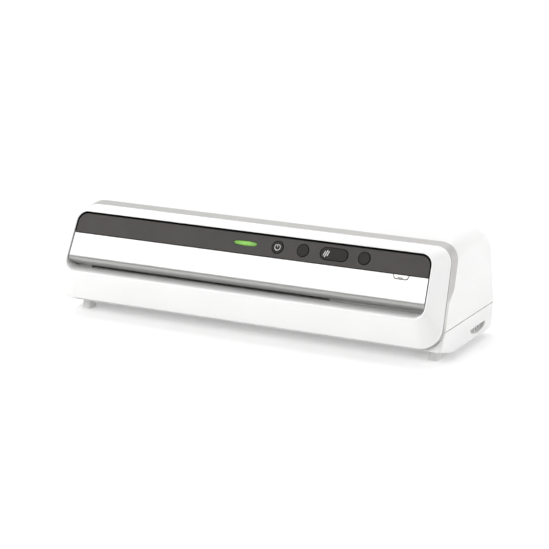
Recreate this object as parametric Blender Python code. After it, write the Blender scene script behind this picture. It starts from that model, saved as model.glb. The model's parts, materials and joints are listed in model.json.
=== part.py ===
"""Pouch laminator for large pouches: housing, roller drive, heating shoes and control panel.

Metres, +Z up. +X runs to the right of a user who faces the entry slot, -Y points at that user,
and the origin is at the middle of the footprint, at table height.
"""
import math

import bmesh
import bpy
from mathutils import Vector

MM = 0.001

# Overall sizes
BODY_WIDTH = 523.2 * MM           # at the foot of the front frame
BODY_DEPTH = 185.2 * MM
BODY_HEIGHT = 140.0 * MM

# Gaps between pieces
GAP = 0.3 * MM                    # fixed pieces that meet
BUTTON_GAP = 0.35 * MM            # round a button, a lens or the release tab
PANEL_GAP = 1.4 * MM              # shadow gap round the fascia and the front panel
SHAFT_PLAY = 0.1 * MM             # radial play of a shaft in its bearing
SLEEVE_PLAY = 0.3 * MM            # between a shaft and the sleeve or gear on it

# Front bezel: its outer edge lies on one leaning plane, its rim on another
SIDE_TAPER = 8.2 * MM             # each side is this much narrower at the top
NOSE_DROP = 7.5 * MM              # from the cover's top down to the bezel's
OUTER_BOTTOM_Z = 22.1 * MM
OUTER_LEAN = 0.474                # run along Y for each unit of height
OUTER_RADIUS_TOP = 22.0 * MM
OUTER_RADIUS_BOTTOM = 25.0 * MM
SIDE_BAR_TOP = 12.2 * MM          # from the outer edge in to the opening
SIDE_BAR_BOTTOM = 17.0 * MM
TOP_BAR_DROP = 2.7 * MM
TOP_BAR_DEPTH = 31.3 * MM
LEDGE_SHARE = 0.43714             # of the body's height, up to the opening's foot
RIM_LEAN = 0.5
RIM_RADIUS = 14.0 * MM
RIM_LIP = 2.4 * MM                # width of the bezel's front edge
RIM_FRONT_INSET = 1.0 * MM        # the opening's foot behind the foremost edge
BEZEL_WALL = 2.2 * MM
BEZEL_ROOF_SKIN = 0.9 * MM        # between the opening's top face and the hollow behind the lip
HOLE_DEPTH_TOP = 8.0 * MM
HOLE_DEPTH_BOTTOM = 22.0 * MM
LIP_DEPTH = 3.0 * MM
BEZEL_NECK = 3.0 * MM             # straight run in front of the trim ring
BEZEL_EDGE_CUT = 2.6 * MM
RIM_EDGE_CUT = 1.1 * MM

# Trim ring behind the bezel
RING_DEPTH_TOP = 15.0 * MM
RING_DEPTH_LOW = 4.0 * MM
RING_STEP_START = 8.8 * MM        # above the ledge, where its rear edge starts to sweep back
RING_STEP_HEIGHT = 18.0 * MM
RING_FLARE_FRONT = 0.4 * MM
RING_FLARE_REAR = 2.0 * MM
RING_WALL = 2.6 * MM

# Top cover
COVER_INSET = 1.5 * MM            # below the ring's rear edge
COVER_WALL = 2.5 * MM
COVER_SEAM = 0.6 * MM             # between the trim ring and the cover
COVER_RISE_LENGTH = 52.0 * MM     # over which the top climbs from the ring to full height
COVER_REAR_RADIUS = 30.0 * MM
COVER_CORNER_RADIUS = 6.0 * MM
PARTING_Z = 40.5 * MM

# Base tray
BASE_UNDERSIDE_Z = 5.0 * MM
BASE_WALL = 2.5 * MM
BASE_REAR_DRAFT = 6.0 * MM
BASE_EDGE_RADIUS = 9.0 * MM
BASE_FRONT_RADIUS = 4.0 * MM
CHIN_DROP = 3.1 * MM              # from the bezel's lower edge to the top of the sloping chin
CHIN_LENGTH = 70.6 * MM           # from the foremost edge back to the flat underside
CHIN_BEND = 0.5 * MM              # half the height of the bend at the chin's top
CHIN_WALL_RUN = 3                 # the sloping wall's run along Y, in wall thicknesses
GRIP_REAR_INSET = 77.1 * MM       # from the rear face to the grip's front end
GRIP_LENGTH = 46.0 * MM
GRIP_TOP_Z = 23.0 * MM
GRIP_HEIGHT = 8.6 * MM
GLAND_SIDE_INSET = 61.6 * MM
GLAND_Z = 27.0 * MM
GLAND_RADIUS = 7.0 * MM
GLAND_BORE = 3.6 * MM
GLAND_TAIL = 4.0 * MM             # inside the wall
GLAND_STAND = 1.4 * MM            # the flange stands clear of the sloping wall
GLAND_FLANGE = 1.5 * MM
GLAND_FLANGE_THICKNESS = 0.9 * MM

# Feet
FRONT_FOOT_SIDE_INSET = 21.6 * MM
FRONT_FOOT_SETBACK = 50.6 * MM    # behind the foremost edge
FRONT_FOOT_WIDTH = 10.0 * MM
FRONT_FOOT_LENGTH = 14.0 * MM
FOOT_TAPER = 1.6 * MM
REAR_FOOT_SIDE_INSET = 46.6 * MM
REAR_FOOT_REAR_INSET = 30.6 * MM
REAR_FOOT_RADIUS = 9.0 * MM

# Fascia, front panel and controls
FASCIA_HEIGHT = 24.2 * MM
FASCIA_RECESS = 1.2 * MM
FASCIA_THICKNESS = 2.5 * MM
PANEL_THICKNESS = 2.4 * MM
PANEL_CURVE_START = 18.6 * MM     # above the ledge, where the lower curve starts
PANEL_CURVE_DEPTH = 12.3 * MM     # from there back to the toe
PANEL_CURVE_PULL = 9.0 * MM       # how firmly the curve follows its two end directions
PANEL_TAIL = 12.0 * MM
CONTROL_DROP = 12.6 * MM          # from the top of the opening to the keys' middle
ROUND_BUTTON_RADIUS = 7.6 * MM
PILL_LENGTH = 36.2 * MM
PILL_RADIUS = 7.6 * MM
BUTTON_STAND = 0.6 * MM
BUTTON_TRAVEL = 1.0 * MM
BUTTON_CROWN = 1.2 * MM           # the face is this much smaller than the stem
FLANGE_WIDTH = 1.2 * MM           # keeps a key or the tab from falling out
FLANGE_THICKNESS = 1.0 * MM
POWER_BUTTON_X = 42.4 * MM
REVERSE_BUTTON_X = 76.3 * MM
MODE_BUTTON_X = 117.2 * MM
SELECT_BUTTON_X = 156.6 * MM
LENS_X = -1.2 * MM
LENS_LENGTH = 31.0 * MM
LENS_HEIGHT = 5.2 * MM
TAB_SIDE_INSET = 54.6 * MM
TAB_WIDTH = 20.0 * MM
TAB_HEIGHT = 5.6 * MM
TAB_CORNER = 3.2 * MM
TAB_SLANT = 1.8 * MM              # each side runs in by this from the top to the foot
TAB_RISE = 2.0 * MM               # how far the tab's cut-out runs up past the panel's edge

# Paper path, rollers and drive
SLOT_LEFT_INSET = 43.6 * MM
SLOT_RIGHT_INSET = 146.6 * MM     # leaves room for the gears and the motor
SLOT_HEIGHT = 4.2 * MM            # between the ledge and the front panel
EXIT_SLOT_HEIGHT = 6.0 * MM
LEDGE_THICKNESS = 2.2 * MM
LEDGE_REACH = 36.0 * MM           # from the panel's toe to the ledge's rear edge
ROLLER_SETBACK = 19.0 * MM        # from there to the hot rollers' axis
NIP_GAP = 0.3 * MM
ROLLER_RADIUS = 12.0 * MM
SHAFT_RADIUS = 4.0 * MM
SHAFT_OVERHANG = 3.0 * MM         # past the gears
SLEEVE_MARGIN = 2.0 * MM          # between a sleeve's end and the bearing
GEAR_TEETH = 18
IDLER_TEETH = 26
PINION_TEETH = 10
GEAR_WIDTH = 8.0 * MM
PIN_RADIUS = 3.0 * MM
PIN_COLLAR = 2.0 * MM             # shoulder that keeps the idler off the plate
MOTOR_SHAFT_RADIUS = 2.5 * MM
PLATE_THICKNESS = 2.0 * MM
PLATE_MARGIN = 8.0 * MM           # from the end of the pouch slot to the chassis plate
PLATE_BEHIND_EXIT = 25.6 * MM
PLATE_TOP_SHARE = 0.59            # of the height from the bearing blocks to the bezel's top
TIE_BAR_SIZE = 8.0 * MM
BEARING_RADIUS = 7.0 * MM
BEARING_LENGTH = 6.0 * MM
SPRING_WIRE = 0.7 * MM
SPRING_RADIUS = 4.4 * MM
SPRING_TURNS = 4
SPRING_TOP_SHARE = 0.39           # of the same height
SHOE_GAP = 1.6 * MM
SHOE_WALL = 2.0 * MM
SHOE_ARC = 150                    # degrees of the roller each shoe covers
CUTOUT_RADIUS = 8.0 * MM
CUTOUT_HEIGHT = 5.0 * MM
CUTOUT_CAP_RADIUS = 5.0 * MM
CUTOUT_CAP_HEIGHT = 3.0 * MM
GUIDE_THICKNESS = 3.0 * MM
GUIDE_GAP = 1.5 * MM              # between a guide and a roller
GUIDE_DROP = 2.0 * MM             # below the nip
MOTOR_RADIUS = 25.0 * MM
MOTOR_LENGTH = 24.0 * MM
BRACKET_SIDE = 5.0 * MM           # past the motor on each side
BRACKET_MARGIN = 3.5 * MM         # above the motor and below the idler gear
BOARD_THICKNESS = 1.6 * MM
SWITCH_HEIGHT = 3.0 * MM
SWITCH_SIZE = 6.0 * MM
KEY_BOARD_HEIGHT = 18.0 * MM
KEY_BOARD_MARGIN = 8.0 * MM       # past the light and the last key
POWER_BOARD_SIDE_INSET = 15.6 * MM
POWER_BOARD_WIDTH = 68.0 * MM
POWER_BOARD_LENGTH = 90.0 * MM
POWER_BOARD_LEAD = 25.0 * MM      # in front of the hot rollers' axis
POWER_BOARD_STAND = 5.0 * MM
RELAY_WIDTH = 16.0 * MM
RELAY_LENGTH = 26.0 * MM
RELAY_HEIGHT = 16.0 * MM
CAPACITOR_RADIUS = 8.0 * MM
CAPACITOR_HEIGHT = 22.0 * MM
FLAG_X = -60.0 * MM
FLAG_THICKNESS = 3.0 * MM
FLAG_HALF_WIDTH = 2.5 * MM
FLAG_HEAD = 3.5 * MM              # above its pivot
FLAG_TIP_RISE = 1.5 * MM          # above the ledge
SENSOR_CLEARANCE = 1.2 * MM
SENSOR_CHEEK = 4.0 * MM
SENSOR_DEPTH = 12.0 * MM
SENSOR_HEIGHT = 14.0 * MM         # above the pivot
FLAG_BEFORE_EDGE = 12.0 * MM      # in front of the ledge's rear edge
FLAG_PIVOT_RISE = 19.0 * MM       # above the ledge
FLAG_BORE = 1.3 * MM

CORNER_STEPS = 7
SIDE_STEPS = 16
ROUND_STEPS = 32
SHAFT_STEPS = 24

# Values worked out from those above
FRONT_Y = -BODY_DEPTH / 2
REAR_Y = BODY_DEPTH / 2
HALF_WIDTH = BODY_WIDTH / 2
OUTER_TOP_Z = BODY_HEIGHT - NOSE_DROP
OUTER_HALF_TOP = HALF_WIDTH - SIDE_TAPER
RIM_TOP_Z = OUTER_TOP_Z - TOP_BAR_DROP
RIM_BOTTOM_Z = BODY_HEIGHT * LEDGE_SHARE
RIM_TOP_Y = FRONT_Y + RIM_FRONT_INSET + RIM_LEAN * (RIM_TOP_Z - RIM_BOTTOM_Z)
OUTER_TOP_Y = RIM_TOP_Y + TOP_BAR_DEPTH
RIM_HALF_TOP = OUTER_HALF_TOP - SIDE_BAR_TOP
RIM_HALF_BOTTOM = HALF_WIDTH - SIDE_BAR_BOTTOM
CHIN_TOP_Z = OUTER_BOTTOM_Z - CHIN_DROP
CHIN_REAR_Y = FRONT_Y + CHIN_LENGTH
FLOOR_Z = BASE_UNDERSIDE_Z + BASE_WALL
FASCIA_BOTTOM_Z = RIM_TOP_Z - FASCIA_HEIGHT
CONTROL_Z = RIM_TOP_Z - CONTROL_DROP
PANEL_CURVE_Z = RIM_BOTTOM_Z + PANEL_CURVE_START
PANEL_TOE_Z = RIM_BOTTOM_Z + SLOT_HEIGHT
PANEL_TOE_Y = RIM_TOP_Y - RIM_LEAN * (RIM_TOP_Z - PANEL_CURVE_Z) + PANEL_CURVE_DEPTH
TAB_X = HALF_WIDTH - TAB_SIDE_INSET
GLAND_X = HALF_WIDTH - GLAND_SIDE_INSET
SLOT_LEFT_X = SLOT_LEFT_INSET - HALF_WIDTH
SLOT_RIGHT_X = HALF_WIDTH - SLOT_RIGHT_INSET
SLOT_CENTRE_X = (SLOT_LEFT_X + SLOT_RIGHT_X) / 2
LEDGE_REAR_Y = PANEL_TOE_Y + LEDGE_REACH
NIP_Z = RIM_BOTTOM_Z + SLOT_HEIGHT / 2
HOT_Y = LEDGE_REAR_Y + ROLLER_SETBACK
ROLLER_PITCH = 2 * ROLLER_RADIUS + NIP_GAP
GEAR_MODULE = ROLLER_PITCH / GEAR_TEETH
GEAR_RADIUS = GEAR_MODULE * GEAR_TEETH / 2
IDLER_RADIUS = GEAR_MODULE * IDLER_TEETH / 2
PINION_RADIUS = GEAR_MODULE * PINION_TEETH / 2
UPPER_Z = NIP_Z + ROLLER_PITCH / 2
LOWER_Z = NIP_Z - ROLLER_PITCH / 2
IDLER_Y = HOT_Y + GEAR_RADIUS + IDLER_RADIUS
EXIT_Y = HOT_Y + 2 * (GEAR_RADIUS + IDLER_RADIUS)
PINION_Z = LOWER_Z + IDLER_RADIUS + PINION_RADIUS
BLOCK_TOP_Z = UPPER_Z + BEARING_RADIUS
SPRING_TOP_Z = BLOCK_TOP_Z + SPRING_TOP_SHARE * (OUTER_TOP_Z - BLOCK_TOP_Z)
PLATE_TOP_Z = BLOCK_TOP_Z + PLATE_TOP_SHARE * (OUTER_TOP_Z - BLOCK_TOP_Z)
PLATE_FRONT_Y = LEDGE_REAR_Y + GAP
PLATE_REAR_Y = EXIT_Y + PLATE_BEHIND_EXIT
LEFT_PLATE_X = SLOT_LEFT_X - PLATE_MARGIN
RIGHT_PLATE_X = SLOT_RIGHT_X + PLATE_MARGIN
GEAR_X = RIGHT_PLATE_X + PLATE_THICKNESS + BEARING_LENGTH
BRACKET_X = GEAR_X + GEAR_WIDTH + GEAR_WIDTH
BRACKET_TOP_Z = PINION_Z + MOTOR_RADIUS + BRACKET_MARGIN
BRACKET_BOTTOM_Z = LOWER_Z - IDLER_RADIUS - GEAR_MODULE - PLATE_THICKNESS - BRACKET_MARGIN
FLAG_PIVOT_Y = LEDGE_REAR_Y - FLAG_BEFORE_EDGE
FACE_UP = Vector((0, RIM_LEAN, 1)).normalized()
FACE_OUT = Vector((0, -1, RIM_LEAN)).normalized()


def lerp(low, high, share):
    return low + (high - low) * share


def smooth(low, high, value):
    share = min(1.0, max(0.0, (value - low) / (high - low)))
    return share * share * (3 - 2 * share)


# ---------------------------------------------------------------- mesh helpers
def make_material(name, colour, roughness, metallic=0.0, alpha=1.0):
    material = bpy.data.materials.new(name)
    material.use_nodes = True
    shader = material.node_tree.nodes["Principled BSDF"]
    shader.inputs["Base Color"].default_value = (*colour, 1.0)
    shader.inputs["Roughness"].default_value = roughness
    shader.inputs["Metallic"].default_value = metallic
    shader.inputs["Alpha"].default_value = alpha
    return material


def add_object(name, mesh_data, material, origin=(0, 0, 0), smooth_angle=35):
    """Turn a bmesh in world coordinates into an object whose origin is at the given point."""
    bmesh.ops.recalc_face_normals(mesh_data, faces=mesh_data.faces)
    origin = Vector(origin)
    bmesh.ops.translate(mesh_data, verts=mesh_data.verts, vec=-origin)
    mesh = bpy.data.meshes.new(name)
    mesh_data.to_mesh(mesh)
    mesh_data.free()
    mesh.shade_smooth()
    mesh.set_sharp_from_angle(angle=math.radians(smooth_angle))
    mesh.materials.append(material)
    item = bpy.data.objects.new(name, mesh)
    item.location = origin
    bpy.context.scene.collection.objects.link(item)
    return item


def bridge(mesh_data, loop_a, loop_b, closed=True):
    count = len(loop_a)
    for index in range(count if closed else count - 1):
        after = (index + 1) % count
        mesh_data.faces.new((loop_a[index], loop_a[after], loop_b[after], loop_b[index]))


def ring_solid(loops):
    """A frame-shaped solid: closed loops bridged in order, and the last one back to the first."""
    mesh_data = bmesh.new()
    made = [[mesh_data.verts.new(point) for point in loop] for loop in loops]
    for index, loop in enumerate(made):
        bridge(mesh_data, loop, made[(index + 1) % len(made)])
    return mesh_data


def capped_solid(loops):
    """A solid through closed loops, with a flat cap at each end."""
    mesh_data = bmesh.new()
    made = [[mesh_data.verts.new(point) for point in loop] for loop in loops]
    for loop_a, loop_b in zip(made, made[1:]):
        bridge(mesh_data, loop_a, loop_b)
    mesh_data.faces.new(list(reversed(made[0])))
    mesh_data.faces.new(made[-1])
    return mesh_data


def prism(profile, start, vector):
    """Extrude a closed profile of 3-D offsets along a vector."""
    start = Vector(start)
    low = [start + Vector(point) for point in profile]
    return capped_solid([low, [point + Vector(vector) for point in low]])


def box(low, high):
    profile = [(0, 0, 0), (high[0] - low[0], 0, 0), (high[0] - low[0], high[1] - low[1], 0),
               (0, high[1] - low[1], 0)]
    return prism(profile, low, (0, 0, high[2] - low[2]))


def circle(radius, steps, side=Vector((0, 1, 0)), up=Vector((0, 0, 1)), turn=0.0):
    angles = [turn + 2 * math.pi * step / steps for step in range(steps)]
    return [side * radius * math.cos(angle) + up * radius * math.sin(angle) for angle in angles]


def turned(centre, axis, stations, steps=ROUND_STEPS, side=None):
    """A round solid: stations are (distance along the axis, radius)."""
    axis = Vector(axis).normalized()
    side = Vector(side) if side else Vector((0, 1, 0))
    up = axis.cross(side).normalized()
    side = up.cross(axis)
    loops = [[Vector(centre) + axis * along + point for point in circle(radius, steps, side, up)]
             for along, radius in stations]
    return loops


def turned_solid(centre, axis, stations, steps=ROUND_STEPS, side=None):
    return capped_solid(turned(centre, axis, stations, steps, side))


def turned_tube(centre, axis, outer, inner, steps=ROUND_STEPS, side=None):
    """A round solid with a hole right through: outer stations out, inner stations back."""
    stations = list(outer) + list(reversed(inner))
    return ring_solid(turned(centre, axis, stations, steps, side))


def add_cutter(name, mesh_data, target, operation="DIFFERENCE"):
    cutter = add_object(name, mesh_data, target.data.materials[0])
    cutter.hide_render = True
    cutter.display_type = "WIRE"
    change = target.modifiers.new(name, "BOOLEAN")
    change.operation = operation
    change.solver = "EXACT"
    change.object = cutter
    return cutter


# ---------------------------------------------------------------- leaning outlines
def corner_arc(corner, toward, away, radius, steps):
    """Points of a fillet at a corner of a 2-D outline that runs clockwise."""
    angle = math.acos(max(-1.0, min(1.0, toward.dot(away))))
    start = corner - toward * radius * math.tan(angle / 2)
    centre = start + Vector((toward.y, -toward.x)) * radius
    first = math.atan2(start.y - centre.y, start.x - centre.x)
    turns = [first - angle * step / steps for step in range(steps + 1)]
    return [centre + Vector((math.cos(turn), math.sin(turn))) * radius for turn in turns]


def frame_outline(half_top, half_bottom, z_top, z_bottom, radius_top, radius_bottom, top_y, lean,
                  plane_z):
    """A rounded trapezoid on the plane y = top_y - lean * (plane_z - z), symmetric about X = 0."""
    stretch = math.sqrt(1 + lean * lean)
    height = (z_top - z_bottom) * stretch
    top = Vector((half_top, 0.0))
    bottom = Vector((half_bottom, -height))
    down = (bottom - top).normalized()
    top_corner = corner_arc(top, Vector((1.0, 0.0)), down, radius_top, CORNER_STEPS)
    bottom_corner = corner_arc(bottom, down, Vector((-1.0, 0.0)), radius_bottom, CORNER_STEPS)
    side = [lerp(top_corner[-1], bottom_corner[0], step / SIDE_STEPS) for step in range(1, SIDE_STEPS)]
    right = top_corner + side + bottom_corner
    flat = right + [Vector((-point.x, point.y)) for point in reversed(right)]
    points = []
    for point in flat:
        z = z_top + point.y / stretch
        points.append(Vector((point.x, top_y - lean * (plane_z - z), z)))
    return points


def outer_outline(inset=0.0, radius_change=None):
    change = -inset if radius_change is None else radius_change
    return frame_outline(OUTER_HALF_TOP - inset, HALF_WIDTH - inset, OUTER_TOP_Z - inset,
                         OUTER_BOTTOM_Z + inset, OUTER_RADIUS_TOP + change,
                         OUTER_RADIUS_BOTTOM + change, OUTER_TOP_Y, OUTER_LEAN, OUTER_TOP_Z)


def rim_outline(side_inset=0.0, top_inset=None, bottom_inset=None):
    top_inset = side_inset if top_inset is None else top_inset
    bottom_inset = side_inset if bottom_inset is None else bottom_inset
    radius = RIM_RADIUS - side_inset
    return frame_outline(RIM_HALF_TOP - side_inset, RIM_HALF_BOTTOM - side_inset,
                         RIM_TOP_Z - top_inset, RIM_BOTTOM_Z + bottom_inset, radius, radius,
                         RIM_TOP_Y, RIM_LEAN, RIM_TOP_Z)


def shifted(loop, distance):
    """Move each point of a loop back by a distance, or by a function of its height."""
    if callable(distance):
        return [point + Vector((0, distance(point.z), 0)) for point in loop]
    return [point + Vector((0, distance, 0)) for point in loop]


def rounded_corner(before, corner, after, cut, steps):
    """Loops that round the edge at corner between the loops before and after it."""
    loops = []
    for step in range(steps + 1):
        share = step / steps
        loop = []
        for start, middle, end in zip(before, corner, after):
            first = middle + (start - middle).normalized() * cut
            last = middle + (end - middle).normalized() * cut
            loop.append(first * (1 - share) ** 2 + middle * 2 * share * (1 - share) + last * share ** 2)
        loops.append(loop)
    return loops


def hole_depth(z):
    return lerp(HOLE_DEPTH_BOTTOM, HOLE_DEPTH_TOP, (z - RIM_BOTTOM_Z) / (RIM_TOP_Z - RIM_BOTTOM_Z))


def ring_depth(z):
    step_z = RIM_BOTTOM_Z + RING_STEP_START
    return lerp(RING_DEPTH_LOW, RING_DEPTH_TOP, smooth(step_z, step_z + RING_STEP_HEIGHT, z))


def outer_plane_y(z):
    return OUTER_TOP_Y - OUTER_LEAN * (OUTER_TOP_Z - z)


def outer_half(z):
    share = (OUTER_TOP_Z - z) / (OUTER_TOP_Z - OUTER_BOTTOM_Z)
    return lerp(OUTER_HALF_TOP, HALF_WIDTH, share)


def rim_half(z):
    return lerp(RIM_HALF_TOP, RIM_HALF_BOTTOM, (RIM_TOP_Z - z) / (RIM_TOP_Z - RIM_BOTTOM_Z))


def rim_edge(z):
    """Half width of the opening at a height, with its rounded lower corners."""
    above_floor = (z - RIM_BOTTOM_Z) * math.sqrt(1 + RIM_LEAN * RIM_LEAN)
    inside = max(0.0, RIM_RADIUS - above_floor)
    return rim_half(z) - RIM_RADIUS + math.sqrt(RIM_RADIUS ** 2 - inside ** 2)


def rim_plane_y(z):
    return RIM_TOP_Y - RIM_LEAN * (RIM_TOP_Z - z)


# ---------------------------------------------------------------- housing
def make_front_bezel(material):
    outer = outer_outline()
    neck = shifted(outer, -BEZEL_NECK)
    lip = rim_outline(-RIM_LIP)
    rim = rim_outline()
    hole_back = shifted(rim, hole_depth)
    loops = [outer]
    loops += rounded_corner(outer, neck, lip, BEZEL_EDGE_CUT, 3)
    loops += rounded_corner(neck, lip, rim, RIM_EDGE_CUT, 2)
    loops += rounded_corner(lip, rim, hole_back, RIM_EDGE_CUT, 2)
    skin = rim_outline(-BEZEL_WALL, -BEZEL_ROOF_SKIN, -BEZEL_WALL)
    loops.append(hole_back)
    loops.append(shifted(skin, hole_depth))
    loops.append(shifted(skin, LIP_DEPTH))
    loops.append(outer_outline(BEZEL_WALL))
    return add_object("front_bezel", ring_solid(loops), material)


def make_trim_ring(material):
    front = shifted(outer_outline(-RING_FLARE_FRONT), GAP)
    rear = shifted(outer_outline(-RING_FLARE_REAR), lambda z: GAP + ring_depth(z))
    rear_inner = shifted(outer_outline(RING_WALL), lambda z: GAP + ring_depth(z))
    front_inner = shifted(outer_outline(RING_WALL), GAP)
    return add_object("trim_ring", ring_solid([front, rear, rear_inner, front_inner]), material)


def cover_arch(y_at, top_z, shrink, wall):
    """An open arch from the right foot of the cover over the top to the left foot."""
    flare = RING_FLARE_REAR - COVER_INSET
    radius = OUTER_RADIUS_TOP - wall
    half_top = outer_half(top_z) + flare - shrink - wall
    half_foot = outer_half(PARTING_Z) + flare - shrink - wall
    top = Vector((half_top, top_z - wall))
    foot = Vector((half_foot, PARTING_Z))
    down = (foot - top).normalized()
    corner = corner_arc(top, Vector((1.0, 0.0)), down, radius, CORNER_STEPS)
    side = [lerp(corner[-1], foot, step / SIDE_STEPS) for step in range(1, SIDE_STEPS + 1)]
    right = corner + side
    flat = list(reversed(right)) + [Vector((-point.x, point.y)) for point in right]
    return [Vector((point.x, y_at(point.y), point.y)) for point in flat]


def cover_front_y(z):
    return outer_plane_y(z) + ring_depth(z) + GAP + COVER_SEAM


def cover_arches(wall):
    """Arches from the trim ring to the rear face, all offset inwards by the wall."""
    front_top_z = OUTER_TOP_Z + RING_FLARE_REAR - COVER_INSET
    arches = []
    rise_steps = 5
    rise_end_y = OUTER_TOP_Y + COVER_RISE_LENGTH
    for step in range(rise_steps + 1):
        share = step / rise_steps
        top_z = lerp(front_top_z, BODY_HEIGHT, 1 - (1 - share) ** 2)

        def y_at(z, share=share):
            return lerp(cover_front_y(z), rise_end_y, share)

        arches.append(cover_arch(y_at, top_z, 0.0, wall))
    rear_y = REAR_Y - wall
    top_radius = COVER_REAR_RADIUS - wall
    corner_radius = COVER_CORNER_RADIUS - wall
    rear_steps = 9
    for step in range(rear_steps + 1):
        angle = math.pi / 2 * step / rear_steps
        y = rear_y - top_radius * (1 - math.sin(angle))
        top_z = BODY_HEIGHT - top_radius * (1 - math.cos(angle))
        side_run = max(0.0, y - (rear_y - corner_radius))
        shrink = corner_radius - math.sqrt(max(0.0, corner_radius ** 2 - side_run ** 2))
        arches.append(cover_arch(lambda z, y=y: y, top_z, shrink, wall))
    return arches


def make_top_cover(material):
    mesh_data = bmesh.new()
    outer, inner = [[[mesh_data.verts.new(point) for point in arch] for arch in cover_arches(wall)]
                    for wall in (0.0, COVER_WALL)]
    for skin in (outer, inner):
        for arch_a, arch_b in zip(skin, skin[1:]):
            bridge(mesh_data, arch_a, arch_b, closed=False)
        mesh_data.faces.new(skin[-1])
    bridge(mesh_data, outer[0], inner[0], closed=False)
    for end in (0, -1):
        outer_edge = [arch[end] for arch in outer]
        inner_edge = [arch[end] for arch in inner]
        bridge(mesh_data, outer_edge, inner_edge, closed=False)
    mesh_data.faces.new((outer[-1][0], outer[-1][-1], inner[-1][-1], inner[-1][0]))
    cover = add_object("top_cover", mesh_data, material)
    slot_low = (SLOT_LEFT_X, REAR_Y - 3 * COVER_WALL, NIP_Z - EXIT_SLOT_HEIGHT / 2)
    slot_high = (SLOT_RIGHT_X, REAR_Y + 2 * COVER_WALL, NIP_Z + EXIT_SLOT_HEIGHT / 2)
    add_cutter("exit_slot_cutter", box(slot_low, slot_high), cover)
    return cover


def plan_loop(half, front_y, rear_y, z, front_radius, rear_radius):
    """A rounded rectangle in plan, clockwise from the rear right corner."""
    corners = [(Vector((half, rear_y)), Vector((1, 0)), Vector((0, -1)), rear_radius),
               (Vector((half, front_y)), Vector((0, -1)), Vector((-1, 0)), front_radius),
               (Vector((-half, front_y)), Vector((-1, 0)), Vector((0, 1)), front_radius),
               (Vector((-half, rear_y)), Vector((0, 1)), Vector((1, 0)), rear_radius)]
    points = []
    for corner, toward, away, radius in corners:
        points += corner_arc(corner, toward, away, radius, CORNER_STEPS)
    return [Vector((point.x, point.y, z)) for point in points]


def chin_y(z):
    """Front edge of the underside, which slopes up to the trim ring."""
    share = (z - BASE_UNDERSIDE_Z) / (CHIN_TOP_Z - BASE_UNDERSIDE_Z)
    return lerp(CHIN_REAR_Y, cover_front_y(CHIN_TOP_Z), share)


def base_level(z, wall):
    """One level of the tray; the wall insets it all round."""
    lower_edge = BASE_UNDERSIDE_Z + BASE_EDGE_RADIUS
    depth_below = max(0.0, lower_edge - z)
    inset = BASE_EDGE_RADIUS - math.sqrt(max(0.0, BASE_EDGE_RADIUS ** 2 - depth_below ** 2))
    half = outer_half(PARTING_Z) + RING_FLARE_REAR - COVER_INSET - inset - wall
    draft = BASE_REAR_DRAFT * (PARTING_Z - z) / (PARTING_Z - BASE_UNDERSIDE_Z)
    rear_y = REAR_Y - draft - inset - wall
    front_y = cover_front_y(z) if z >= CHIN_TOP_Z else chin_y(z)
    front_y += wall * (1 if z >= CHIN_TOP_Z else CHIN_WALL_RUN)
    corner = COVER_CORNER_RADIUS - wall
    return plan_loop(half, front_y, rear_y, z, BASE_FRONT_RADIUS, corner)


def make_base_tray(material):
    edge_steps = 4
    edge_levels = []
    for step in range(edge_steps, -1, -1):
        rise = BASE_EDGE_RADIUS * (1 - math.cos(math.pi / 2 * step / edge_steps))
        edge_levels.append(BASE_UNDERSIDE_Z + rise)
    wall_levels = [PARTING_Z - GAP, CHIN_TOP_Z + CHIN_BEND, CHIN_TOP_Z - CHIN_BEND]
    outer = [base_level(level, 0.0) for level in wall_levels + edge_levels]
    inner = [base_level(level, BASE_WALL) for level in wall_levels + [edge_levels[0], FLOOR_Z]]
    loops = list(reversed(outer)) + inner
    tray = add_object("base_tray", capped_solid(loops), material)
    half = outer_half(PARTING_Z) + RING_FLARE_REAR - COVER_INSET
    for side, name in ((-1, "left"), (1, "right")):
        start = (side * (half - 3 * BASE_WALL), REAR_Y - GRIP_REAR_INSET, GRIP_TOP_Z)
        pocket = prism(grip_profile(), start, (side * 6 * BASE_WALL, 0, 0))
        add_cutter(f"grip_cutter_{name}", pocket, tray)
    gland_start = (GLAND_X, REAR_Y - 6 * BASE_WALL, GLAND_Z)
    hole = turned_solid(gland_start, (0, 1, 0), [(0, GLAND_RADIUS), (10 * BASE_WALL, GLAND_RADIUS)],
                        SHAFT_STEPS, (1, 0, 0))
    add_cutter("gland_cutter", hole, tray)
    return tray


def grip_profile():
    """A half moon: flat along the top, curved below."""
    steps = 10
    points = []
    for step in range(steps + 1):
        angle = math.pi * step / steps
        y = GRIP_LENGTH / 2 * (1 - math.cos(angle))
        points.append((0, y, -GRIP_HEIGHT * math.sin(angle)))
    return points


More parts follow.
